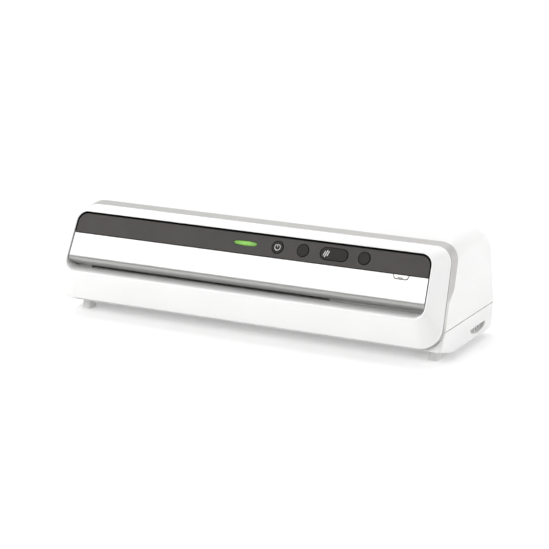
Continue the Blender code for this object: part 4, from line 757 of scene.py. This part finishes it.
def chin_y(z):
    """Front edge of the underside, which slopes up to the trim ring."""
    share = (z - BASE_UNDERSIDE_Z) / (CHIN_TOP_Z - BASE_UNDERSIDE_Z)
    return lerp(CHIN_REAR_Y, cover_front_y(CHIN_TOP_Z), share)


def chin_height(y):
    share = (y - CHIN_REAR_Y) / (cover_front_y(CHIN_TOP_Z) - CHIN_REAR_Y)
    return lerp(BASE_UNDERSIDE_Z, CHIN_TOP_Z, max(0.0, share))


def base_level(z, wall, inset=0.0):
    """One level of the tray; the wall insets it all round."""
    depth_below = max(0.0, BASE_UNDERSIDE_Z + BASE_EDGE_RADIUS - z)
    inset += BASE_EDGE_RADIUS - math.sqrt(max(0.0, BASE_EDGE_RADIUS ** 2 - depth_below ** 2))
    half = casing_half() - inset - wall
    draft = BASE_REAR_DRAFT * (PARTING_Z - z) / (PARTING_Z - BASE_UNDERSIDE_Z)
    front_y = cover_front_y(z) if z >= CHIN_TOP_Z else chin_y(z)
    front_y += wall * (1 if z >= CHIN_TOP_Z else CHIN_WALL_RUN)
    return plan_loop(half, front_y, REAR_Y - draft - inset - wall, z, BASE_FRONT_RADIUS,
                     COVER_CORNER_RADIUS - wall)


def make_base(material):
    edge_steps = 9
    top = PARTING_Z - GAP
    edge_levels = [BASE_UNDERSIDE_Z + BASE_EDGE_RADIUS * (1 - math.cos(math.pi / 2 * step / edge_steps))
                   for step in range(edge_steps, -1, -1)]
    bend = 0.5 * MM
    wall_levels = [CHIN_TOP_Z + bend, CHIN_TOP_Z - bend] + edge_levels
    outer = [base_level(top, 0.0, SEAM_DEPTH), base_level(top - SEAM_STEP, 0.0, SEAM_DEPTH),
             base_level(top - SEAM_STEP, 0.0, SEAM_CHAMFER), base_level(top - SEAM_STEP - SEAM_CHAMFER, 0.0)]
    outer += [base_level(level, 0.0) for level in wall_levels]
    inner = [base_level(level, BASE_WALL) for level in
             (top, CHIN_TOP_Z + bend, CHIN_TOP_Z - bend, edge_levels[0], BASE_UNDERSIDE_Z + BASE_WALL)]
    shape = capped_solid(list(reversed(outer)) + inner)
    cutters = [grip_cutter(side) for side in (-1, 1)]
    gland = sum(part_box("cord_gland"), Vector()) / 2
    centre = Vector((gland.x, REAR_Y - GLAND_HOLE_FRONT, gland.z))
    cutters.append(capped_solid(turned(centre, BACK, [(0, GLAND_HOLE_RADIUS),
                                                      (GLAND_HOLE_LENGTH, GLAND_HOLE_RADIUS)])))
    shape = joined([cut(shape, cutters)] + [grip_pocket(side) for side in (-1, 1)]
                   + [grip_rib(side, step) for side in (-1, 1) for step in range(1, GRIP_RIBS + 1)])
    shell("base_tray_shell", shape, material, "base_tray")


def grip_loop(side, x, grow):
    """The grip's half moon at one depth: flat along the top, curved below."""
    half = GRIP_LENGTH / 2 + grow
    drop = GRIP_HEIGHT + 2 * grow
    angles = [math.pi * step / GRIP_STEPS for step in range(GRIP_STEPS + 1)]
    return [Vector((side * x, GRIP_MIDDLE_Y - half * math.cos(angle),
                    GRIP_TOP_Z + grow - drop * math.sin(angle) ** GRIP_BELLY)) for angle in angles]


def grip_cutter(side):
    face = casing_half()
    stations = ((face - 3 * BASE_WALL, 0.0), (face - 0.6 * MM, 0.0), (face, 0.6 * MM),
                (face + 2 * BASE_WALL, 0.6 * MM))
    return capped_solid([grip_loop(side, x, grow) for x, grow in stations])


def grip_pocket(side):
    """A closed finger pocket behind the grip opening, ribbed across so that fingers hold."""
    face = casing_half() - BASE_WALL + 0.1 * MM
    inside = [(face, 0.0), (face - GRIP_POCKET_DEPTH / 2, -0.2 * MM),
              (face - GRIP_POCKET_DEPTH + 1.5 * MM, -0.6 * MM), (face - GRIP_POCKET_DEPTH, -2.0 * MM)]
    outside = [(x - GRIP_SKIN if index else x, grow + GRIP_SKIN) for index, (x, grow) in enumerate(inside)]
    return capped_solid([grip_loop(side, x, grow) for x, grow in list(reversed(inside)) + outside])


def grip_rib(side, step):
    """One of the upright ribs across the pocket; it follows the half moon's lower edge."""
    half = GRIP_LENGTH / 2
    y = lerp(-half, half, step / (GRIP_RIBS + 1))
    drop = GRIP_HEIGHT * (1 - (y / half) ** 2) ** (GRIP_BELLY / 2) + 0.4 * MM
    face = casing_half()
    loops = []
    for x, thickness in ((face - GRIP_POCKET_DEPTH - 0.5 * MM, 1.0 * MM), (face - 4.6 * MM, 1.0 * MM),
                         (face - 4.2 * MM, 0.5 * MM)):
        corners = ((-thickness, 0.3 * MM), (thickness, 0.3 * MM), (thickness, -drop), (-thickness, -drop))
        loops.append([(side * x, GRIP_MIDDLE_Y + y + dy, GRIP_TOP_Z + dz) for dy, dz in corners])
    return capped_solid(loops)


def make_feet(plastic, rubber):
    """Tapered front feet, whose tops follow the chin, and dished rear pads."""
    for name in ("left", "right"):
        low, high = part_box(f"front_foot_{name}")
        middle = (low + high) / 2
        half = (high - low) / 2
        loops = []
        for rise, grow, radius in ((0.0, -0.8, 2.0), (0.25, -0.2, 2.5), (0.9, 0.0, 3.0), (2.0, -0.3, 3.0),
                                   (None, -1.6, 2.5)):
            loop = plan_loop(half.x + grow * MM, middle.y - half.y - grow * MM,
                             middle.y + half.y + grow * MM, rise or 0.0, radius * MM, radius * MM)
            for point in loop:
                point.x += middle.x
                point.z = chin_height(point.y) - GAP if rise is None else rise * MM
            loops.append(loop)
        shell(f"front_foot_pad_{name}", capped_solid(loops), plastic, f"front_foot_{name}")
        low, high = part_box(f"rear_foot_{name}")
        middle = (low + high) / 2
        radius = (high.x - low.x) / 2
        stations = [(0.0, radius - 2.6 * MM), (0.0, radius - 1.0 * MM), (0.3 * MM, radius - 0.4 * MM),
                    (1.0 * MM, radius), (high.z, radius)]
        dish = [(0.6 * MM, radius - 4.0 * MM), (0.1 * MM, radius - 3.0 * MM)]
        loops = turned(Vector((middle.x, middle.y, 0)), UP, dish + stations)
        shell(f"rear_foot_pad_{name}", capped_solid(loops), rubber, f"rear_foot_{name}")


def make_gland(material):
    low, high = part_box("cord_gland")
    middle = (low + high) / 2
    centre = Vector((middle.x, low.y, middle.z))
    flange = (high.x - low.x) / 2
    length = high.y - low.y
    stations = [(0, GLAND_NECK_RADIUS), (length - 0.9 * MM, GLAND_NECK_RADIUS), (length - 0.9 * MM, flange),
                (length - 0.5 * MM, flange), (length - 0.1 * MM, flange - 0.4 * MM),
                (length, flange - 1.0 * MM), (length, GLAND_BORE_RADIUS + 0.6 * MM),
                (length - 0.6 * MM, GLAND_BORE_RADIUS), (0, GLAND_BORE_RADIUS)]
    shape = ring_solid(turned(centre, BACK, stations))
    shell("cord_gland_bush", shape, material, "cord_gland")


# --- panel and controls
def key_outline(length, radius, steps=24):
    """A round-ended key outline in the plane of the fascia; a circle where length is 2 radii."""
    straight = max(length / 2 - radius, 0.0)
    count = steps if straight < 1e-6 else steps + 1
    turns = [(sign, sign * math.pi / 2 - math.pi * step / steps) for sign in (1, -1) for step in range(count)]
    return [(sign * straight + radius * math.cos(angle), radius * math.sin(angle)) for sign, angle in turns]


def lens_outline(length, height):
    """A long lens shape with tapered, rounded ends."""
    points = []
    for step in range(2 * LENS_STEPS):
        angle = math.pi * step / LENS_STEPS
        x = length / 2 * math.copysign(abs(math.cos(angle)) ** 0.65, math.cos(angle))
        up = height / 2 * math.copysign(abs(math.sin(angle)) ** 0.6, math.sin(angle))
        points.append((x, -up))
    return points


def through(outline, centre, depth, edge=0.25 * MM):
    """A cutter through a plate whose face is at the fascia's recess, with a broken edge."""
    face = -FASCIA_RECESS
    levels = ((face - 2 * depth, 0.0), (face - edge, 0.0), (face + edge, 2 * edge), (depth, 2 * edge))
    loops = []
    for stand, grow in levels:
        grown = [(point, 1 + grow / math.hypot(*point)) for point in outline]
        loops.append(face_loop([(x * share, up * share) for (x, up), share in grown], centre, stand))
    return capped_solid(loops)


def make_fascia(material):
    """The dark band: the top of the opening's outline, cut off level above the front panel."""
    loops = []
    for inset, stand in ((0.5 * MM, 0.0), (0.15 * MM, -0.15 * MM), (0.0, -0.5 * MM),
                         (0.0, -FASCIA_THICKNESS)):
        bottom = FASCIA_BOTTOM_Z + inset
        outline = [point for point in rim_outline(PANEL_GAP + FASCIA_EASE + inset)
                   if point.z > bottom + 0.1 * MM]
        middle = len(outline) // 2
        half = rim_edge(bottom) - PANEL_GAP - FASCIA_EASE - inset
        loop = outline[:middle] + [face_point(half, bottom), face_point(-half, bottom)] + outline[middle:]
        loops.append([point + FACE_OUT * (stand - FASCIA_RECESS) for point in loop])
    cutters = [through(key_outline(length + 2 * BUTTON_GAP, KEY_RADIUS + BUTTON_GAP),
                       face_point(x, CONTROL_Z), FASCIA_THICKNESS) for name, x, length in KEYS]
    cutters.append(through(lens_outline(LENS_LENGTH + 2 * BUTTON_GAP, LENS_HEIGHT + 2 * BUTTON_GAP),
                           face_point(LENS_X, CONTROL_Z), FASCIA_THICKNESS))
    shell("control_fascia_plate", cut(capped_solid(loops), cutters), material, "control_fascia")


def make_gap_shade_strip(material):
    """A near-black strip sunk behind the gap, along the band's top and its two ends, with a lip that lines
    the bezel's opening: painted shade that makes the gap read as a deep shadow.

    No CAD node stands for it; it takes the black gland's body.
    """
    rim = rim_outline()
    right = [index for index in range(len(rim) // 2) if rim[index].z > FASCIA_BOTTOM_Z]
    order = [-1 - index for index in reversed(right)] + right
    strips = []
    rear = SHADE_STRIP_BACK + SHADE_STRIP_THICKNESS
    for inset, back in ((SHADE_STRIP_CLEARANCE, SHADE_STRIP_FRONT), (SHADE_STRIP_LIP, SHADE_STRIP_FRONT),
                        (SHADE_STRIP_LIP, SHADE_STRIP_BACK), (SHADE_STRIP_WIDTH, SHADE_STRIP_BACK), (SHADE_STRIP_WIDTH, rear),
                        (SHADE_STRIP_CLEARANCE, rear)):
        outline = shifted(rim_outline(inset), back)
        strips.append([outline[index] for index in order])
    add_piece("fascia_gap_painted_shade", ring_solid(strips, closed=False), material, "cord_gland")


def make_keys(material, print_material):
    """Dished key tops on stems, each with a flange behind the fascia, and printed marks."""
    behind = -FASCIA_RECESS - FASCIA_THICKNESS - GAP
    top = KEY_STAND - FASCIA_RECESS
    for name, x, length in KEYS:
        centre = face_point(x, CONTROL_Z)
        levels = [(top - KEY_DISH, -3.2 * MM), (top - 0.03 * MM, -2.2 * MM), (top, -1.4 * MM),
                  (top - 0.03 * MM, -0.9 * MM), (top - 0.14 * MM, -0.45 * MM), (top - 0.35 * MM, -0.12 * MM),
                  (top - 0.7 * MM, 0.0), (behind, 0.0), (behind, FLANGE),
                  (behind - FLANGE_THICKNESS, FLANGE)]
        loops = [face_loop(key_outline(length + 2 * grow, KEY_RADIUS + grow), centre, stand)
                 for stand, grow in levels]
        shell(f"{name}_key", capped_solid(loops), material, name)
    floor = top - KEY_DISH
    power = [power_ring(KEYS[0][1], floor), bar(KEYS[0][1], floor, 2.0 * MM, 0.65 * MM, 4.0 * MM, 0.0)]
    add_piece("power_key_mark", joined(power), print_material, "power_button")
    slashes = []
    for offset, length in ((-2.5, 6.6), (0.0, 9.4), (2.5, 6.6)):
        slashes.append(bar(KEYS[2][1] - MODE_MARK_X + offset * MM, floor, 0.0, 0.9 * MM, length * MM, 0.36))
    add_piece("mode_key_mark", joined(slashes), print_material, "mode_button")


def mark_solid(outline, x, floor):
    centre = face_point(x, CONTROL_Z)
    return capped_solid([face_loop(outline, centre, floor + ICON_THICKNESS),
                         face_loop(outline, centre, floor - ICON_SINK)])


def bar(x, floor, up, width, length, slant):
    """A printed bar on a key, round at both ends, slanted by an angle."""
    sine, cosine = math.sin(slant), math.cos(slant)
    outline = [(along * sine - across * cosine, up + (along * cosine + across * sine))
               for along, across in key_outline(length, width / 2, 8)]
    return mark_solid(outline, x, floor)


def power_ring(x, floor):
    """The open ring of a standby mark."""
    sweep = 2 * math.pi - 2 * POWER_MARK_GAP
    steps = 40
    angles = [math.pi / 2 + POWER_MARK_GAP + sweep * step / steps for step in range(steps + 1)]
    edges = ((POWER_MARK_RADIUS + POWER_MARK_HALF, angles),
             (POWER_MARK_RADIUS - POWER_MARK_HALF, angles[::-1]))
    outline = [(radius * math.cos(angle), radius * math.sin(angle))
               for radius, turns in edges for angle in turns]
    return mark_solid(outline, x, floor)


def make_lens(material):
    surface = -FASCIA_RECESS
    levels = [(surface + 0.3 * MM, -1.9 * MM), (surface + 0.28 * MM, -1.2 * MM),
              (surface + 0.18 * MM, -0.5 * MM), (surface, -0.1 * MM), (surface - 0.4 * MM, 0.0),
              (surface - FASCIA_THICKNESS - 1.0 * MM, 0.0)]
    loops = [face_loop(lens_outline(LENS_LENGTH + 2 * grow, LENS_HEIGHT + 2 * grow),
                       face_point(LENS_X, CONTROL_Z), stand) for stand, grow in levels]
    shell("status_light_pipe", capped_solid(loops), material, "status_light_lens")


def panel_profile():
    """Closed section of the front panel: down its flat face, round the toe's lip and back inside."""
    start = face_point(0, PANEL_CURVE_Z, -FASCIA_RECESS)
    end = Vector((0, PANEL_TOE_Y, PANEL_TOE_Z - PANEL_LIP))
    first = start - FACE_UP * PANEL_CURVE_PULL
    second = end + Vector((0, -0.93, 0.36)) * PANEL_CURVE_PULL
    top = face_point(0, FASCIA_BOTTOM_Z - 2 * GAP, -FASCIA_RECESS)
    edge = 0.4 * MM
    outer = [top - FACE_OUT * edge, top - FACE_OUT * 0.3 * edge - FACE_UP * 0.3 * edge,
             top - FACE_UP * edge, start]
    steps = 26
    for step in range(1, steps + 1):
        share = step / steps
        outer.append(start * (1 - share) ** 3 + first * 3 * share * (1 - share) ** 2
                     + second * 3 * share ** 2 * (1 - share) + end * share ** 3)
    outer.append(end + Vector((0, PANEL_TAIL, PANEL_LIP)))
    inner = [outer[0] - FACE_OUT * (PANEL_THICKNESS - edge)]
    for index in range(3, len(outer)):
        along = (outer[min(index + 1, len(outer) - 1)] - outer[index - 1]).normalized()
        inner.append(outer[index] + Vector((0, -along.z, along.y)) * PANEL_THICKNESS)
    return outer + list(reversed(inner))


def make_panel(material):
    profile = panel_profile()
    middle = sum(profile, Vector()) / len(profile)
    loops = []
    for side, edge in ((-1, 0.0), (-1, 0.3 * MM), (1, 0.3 * MM), (1, 0.0)):
        shrink = 0.25 * MM if edge == 0.0 else 0.0
        loop = []
        for point in profile:
            half = rim_edge(point.z) - PANEL_GAP - edge
            toward = (middle - point).normalized() * shrink
            loop.append(Vector((side * half, point.y, point.z)) + Vector((0, toward.y, toward.z)))
        loops.append(loop)
    hole = through(tab_outline(BUTTON_GAP + TAB_EASE), face_point(TAB_X, FASCIA_BOTTOM_Z), PANEL_THICKNESS,
                   0.06 * MM)
    shell("front_panel_sheet", cut(capped_solid(loops), [hole]), material, "front_panel")


def tab_outline(grow, rise=2.0 * MM):
    """Wide along the fascia's lower edge, narrower and rounded below."""
    half = TAB_WIDTH / 2 + grow
    low = -TAB_HEIGHT - grow
    slope = TAB_SLANT / TAB_HEIGHT
    top = Vector((half + slope * rise, rise))
    foot = Vector((half + slope * low, low))
    right = [top] + corner_arc(foot, (foot - top).normalized(), Vector((-1.0, 0.0)), TAB_CORNER, 10)
    return right + [Vector((-point.x, point.y)) for point in reversed(right)]


def make_tab(material, mark_material, gap_shade_material):
    """The tab's face, its dark stem with the flange that keeps it in, and a printed dash. The stem is black
    so that the gap round the tab reads dark: painted shade.
    """
    centre = face_point(TAB_X, FASCIA_BOTTOM_Z)
    surface = -FASCIA_RECESS
    behind = surface - PANEL_THICKNESS - 2 * GAP
    cap = surface - 0.5 * MM
    face_levels = [(surface + 0.2 * MM, -0.5 * MM), (surface + 0.15 * MM, -0.3 * MM),
                   (surface - 0.05 * MM, -TAB_EASE), (cap, -TAB_EASE)]
    stem_levels = [(cap, -TAB_EASE), (behind, -TAB_EASE), (behind, FLANGE),
                   (behind - FLANGE_THICKNESS, FLANGE)]
    face, stem = [capped_solid([face_loop(tab_outline(grow, -3 * GAP), centre, stand)
                                for stand, grow in levels]) for levels in (face_levels, stem_levels)]
    shell("release_tab_key", face, material, "release_tab")
    # black stem: its walls in the gap round the tab are painted shade
    add_piece("release_tab_stem_painted_shade", stem, gap_shade_material, "release_tab")
    lowered = [(x - 0.5 * MM, up - TAB_HEIGHT + 1.3 * MM) for x, up in key_outline(7.0 * MM, 0.55 * MM, 6)]
    mark = [face_loop(lowered, centre, stand) for stand in
            (surface + 0.2 * MM + ICON_THICKNESS, surface)]
    add_piece("release_tab_mark", capped_solid(mark), mark_material, "release_tab")


def make_ledge(material):
    """Entry guide behind the bezel's floor, raised on both sides of the slot."""
    raised_z = PANEL_TOE_Z - PANEL_LIP - GAP
    front_y = rim_plane_y(raised_z) + hole_depth(raised_z) + GAP
    half = RIM_HALF_BOTTOM - RIM_RADIUS / 2
    edge = 0.5 * MM
    section = [(-half, RIM_BOTTOM_Z - LEDGE_THICKNESS), (half, RIM_BOTTOM_Z - LEDGE_THICKNESS),
               (half, raised_z), (SLOT_RIGHT_X + edge, raised_z), (SLOT_RIGHT_X, raised_z - edge),
               (SLOT_RIGHT_X, RIM_BOTTOM_Z), (SLOT_LEFT_X, RIM_BOTTOM_Z),
               (SLOT_LEFT_X, raised_z - edge), (SLOT_LEFT_X - edge, raised_z), (-half, raised_z)]
    loops = []
    for y, drop in ((front_y, 0.4 * MM), (front_y + 0.15 * MM, 0.12 * MM), (front_y + 0.5 * MM, 0.0),
                    (LEDGE_REAR_Y, 0.0)):
        loops.append([Vector((x, y, z - drop if z > RIM_BOTTOM_Z - LEDGE_THICKNESS else z))
                      for x, z in section])
    shell("feed_ledge_plate", capped_solid(loops), material, "feed_ledge")


# --- stage, lights and camera
def make_stage():
    """A wide pale sheet that curves up far behind the object."""
    shape = bmesh.new()
    profile = [(-FLOOR_REACH, 0.0), (FLOOR_CURVE_Y, 0.0)]
    profile += [(FLOOR_CURVE_Y + FLOOR_CURVE_RADIUS * math.sin(angle),
                 FLOOR_CURVE_RADIUS - FLOOR_CURVE_RADIUS * math.cos(angle))
                for angle in [math.pi / 2 * step / 12 for step in range(1, 13)]]
    profile.append((FLOOR_CURVE_Y + FLOOR_CURVE_RADIUS, FLOOR_TOP_Z))
    left, right = [[shape.verts.new((x, y, z)) for y, z in profile] for x in (-FLOOR_REACH, FLOOR_REACH)]
    bridge(shape, left, right, closed=False)
    material, tree, shader = new_material("studio_paper")
    colours(tree, shader, noise(tree, 3, 2), grey(0.90), grey(0.92))
    set_inputs(tree, shader, {"Roughness": 0.9, "Emission Color": (1, 1, 1, 1)})
    away = add_node(tree, "ShaderNodeVectorMath", {0: object_place(tree)})
    away.operation = "LENGTH"
    spread(tree, away.outputs["Value"], *FLOOR_GLOW, shader.inputs["Emission Strength"], *FLOOR_GLOW_REACH)
    floor = placed("studio_floor", shape)
    floor.data.shade_smooth()
    floor.data.materials.append(material)


def make_lights():
    world = bpy.data.worlds.new("studio")
    world.use_nodes = True
    sky = world.node_tree.nodes["Background"]
    set_inputs(world.node_tree, sky, {"Color": (1, 1, 1, 1), "Strength": SKY_STRENGTH})
    bpy.context.scene.world = world
    for name, place, size, power in SOFTBOXES:
        data = bpy.data.lights.new(name, "AREA")
        data.shape = "RECTANGLE"
        data.size, data.size_y = size
        data.energy = power
        light = bpy.data.objects.new(name, data)
        light.location = place
        light.rotation_euler = (LIGHT_TARGET - Vector(place)).to_track_quat("-Z", "Y").to_euler()
        bpy.context.scene.collection.objects.link(light)


def make_camera():
    data = bpy.data.cameras.new("camera")
    data.sensor_width = CAMERA_SENSOR
    data.lens = CAMERA_LENS
    camera = bpy.data.objects.new("camera", data)
    camera.location = CAMERA_PLACE
    turn = Matrix.Rotation(CAMERA_AZIMUTH, 4, "Z") @ Matrix.Rotation(math.pi / 2 + CAMERA_ELEVATION, 4, "X")
    camera.rotation_euler = turn.to_euler()
    bpy.context.scene.collection.objects.link(camera)
    bpy.context.scene.camera = camera


def main():
    bpy.context.scene.view_settings.view_transform = "Standard"
    make_camera()
    materials = make_materials()
    for name, node in frame["nodes"].items():
        node.data.materials.clear()
        node.data.materials.append(materials[SLOT_OF[name]])
    printed = moulded_plastic("printed_mark", (0.72, 0.72, 0.70), (0.80, 0.80, 0.78), 0.5, 2500)
    dark_print = moulded_plastic("dark_mark", grey(0.025), grey(0.045), 0.5, 2500)
    white = materials["white_housing"]
    make_bezel(white)
    make_ring(materials["silver_trim"])
    make_cover(white)
    make_base(white)
    make_feet(materials["foot_plastic"], materials["foot_rubber"])
    make_gland(materials["black_plastic"])
    make_fascia(materials["dark_fascia"])
    # near-black strip in the band's gap: painted shade
    make_gap_shade_strip(moulded_plastic("gap_painted_shade", grey(0.004), grey(0.007), 0.75, 900, 0.05 * MM,
                                specular=0.1))
    make_keys(materials["key_plastic"], printed)
    make_lens(materials["green_lens"])
    make_panel(materials["pearl_panel"])
    # the tab's black stem paints shade into the gap round the tab
    make_tab(materials["pearl_panel"], dark_print, materials["black_plastic"])
    make_ledge(materials["light_grey_plastic"])
    make_stage()
    make_lights()


main()
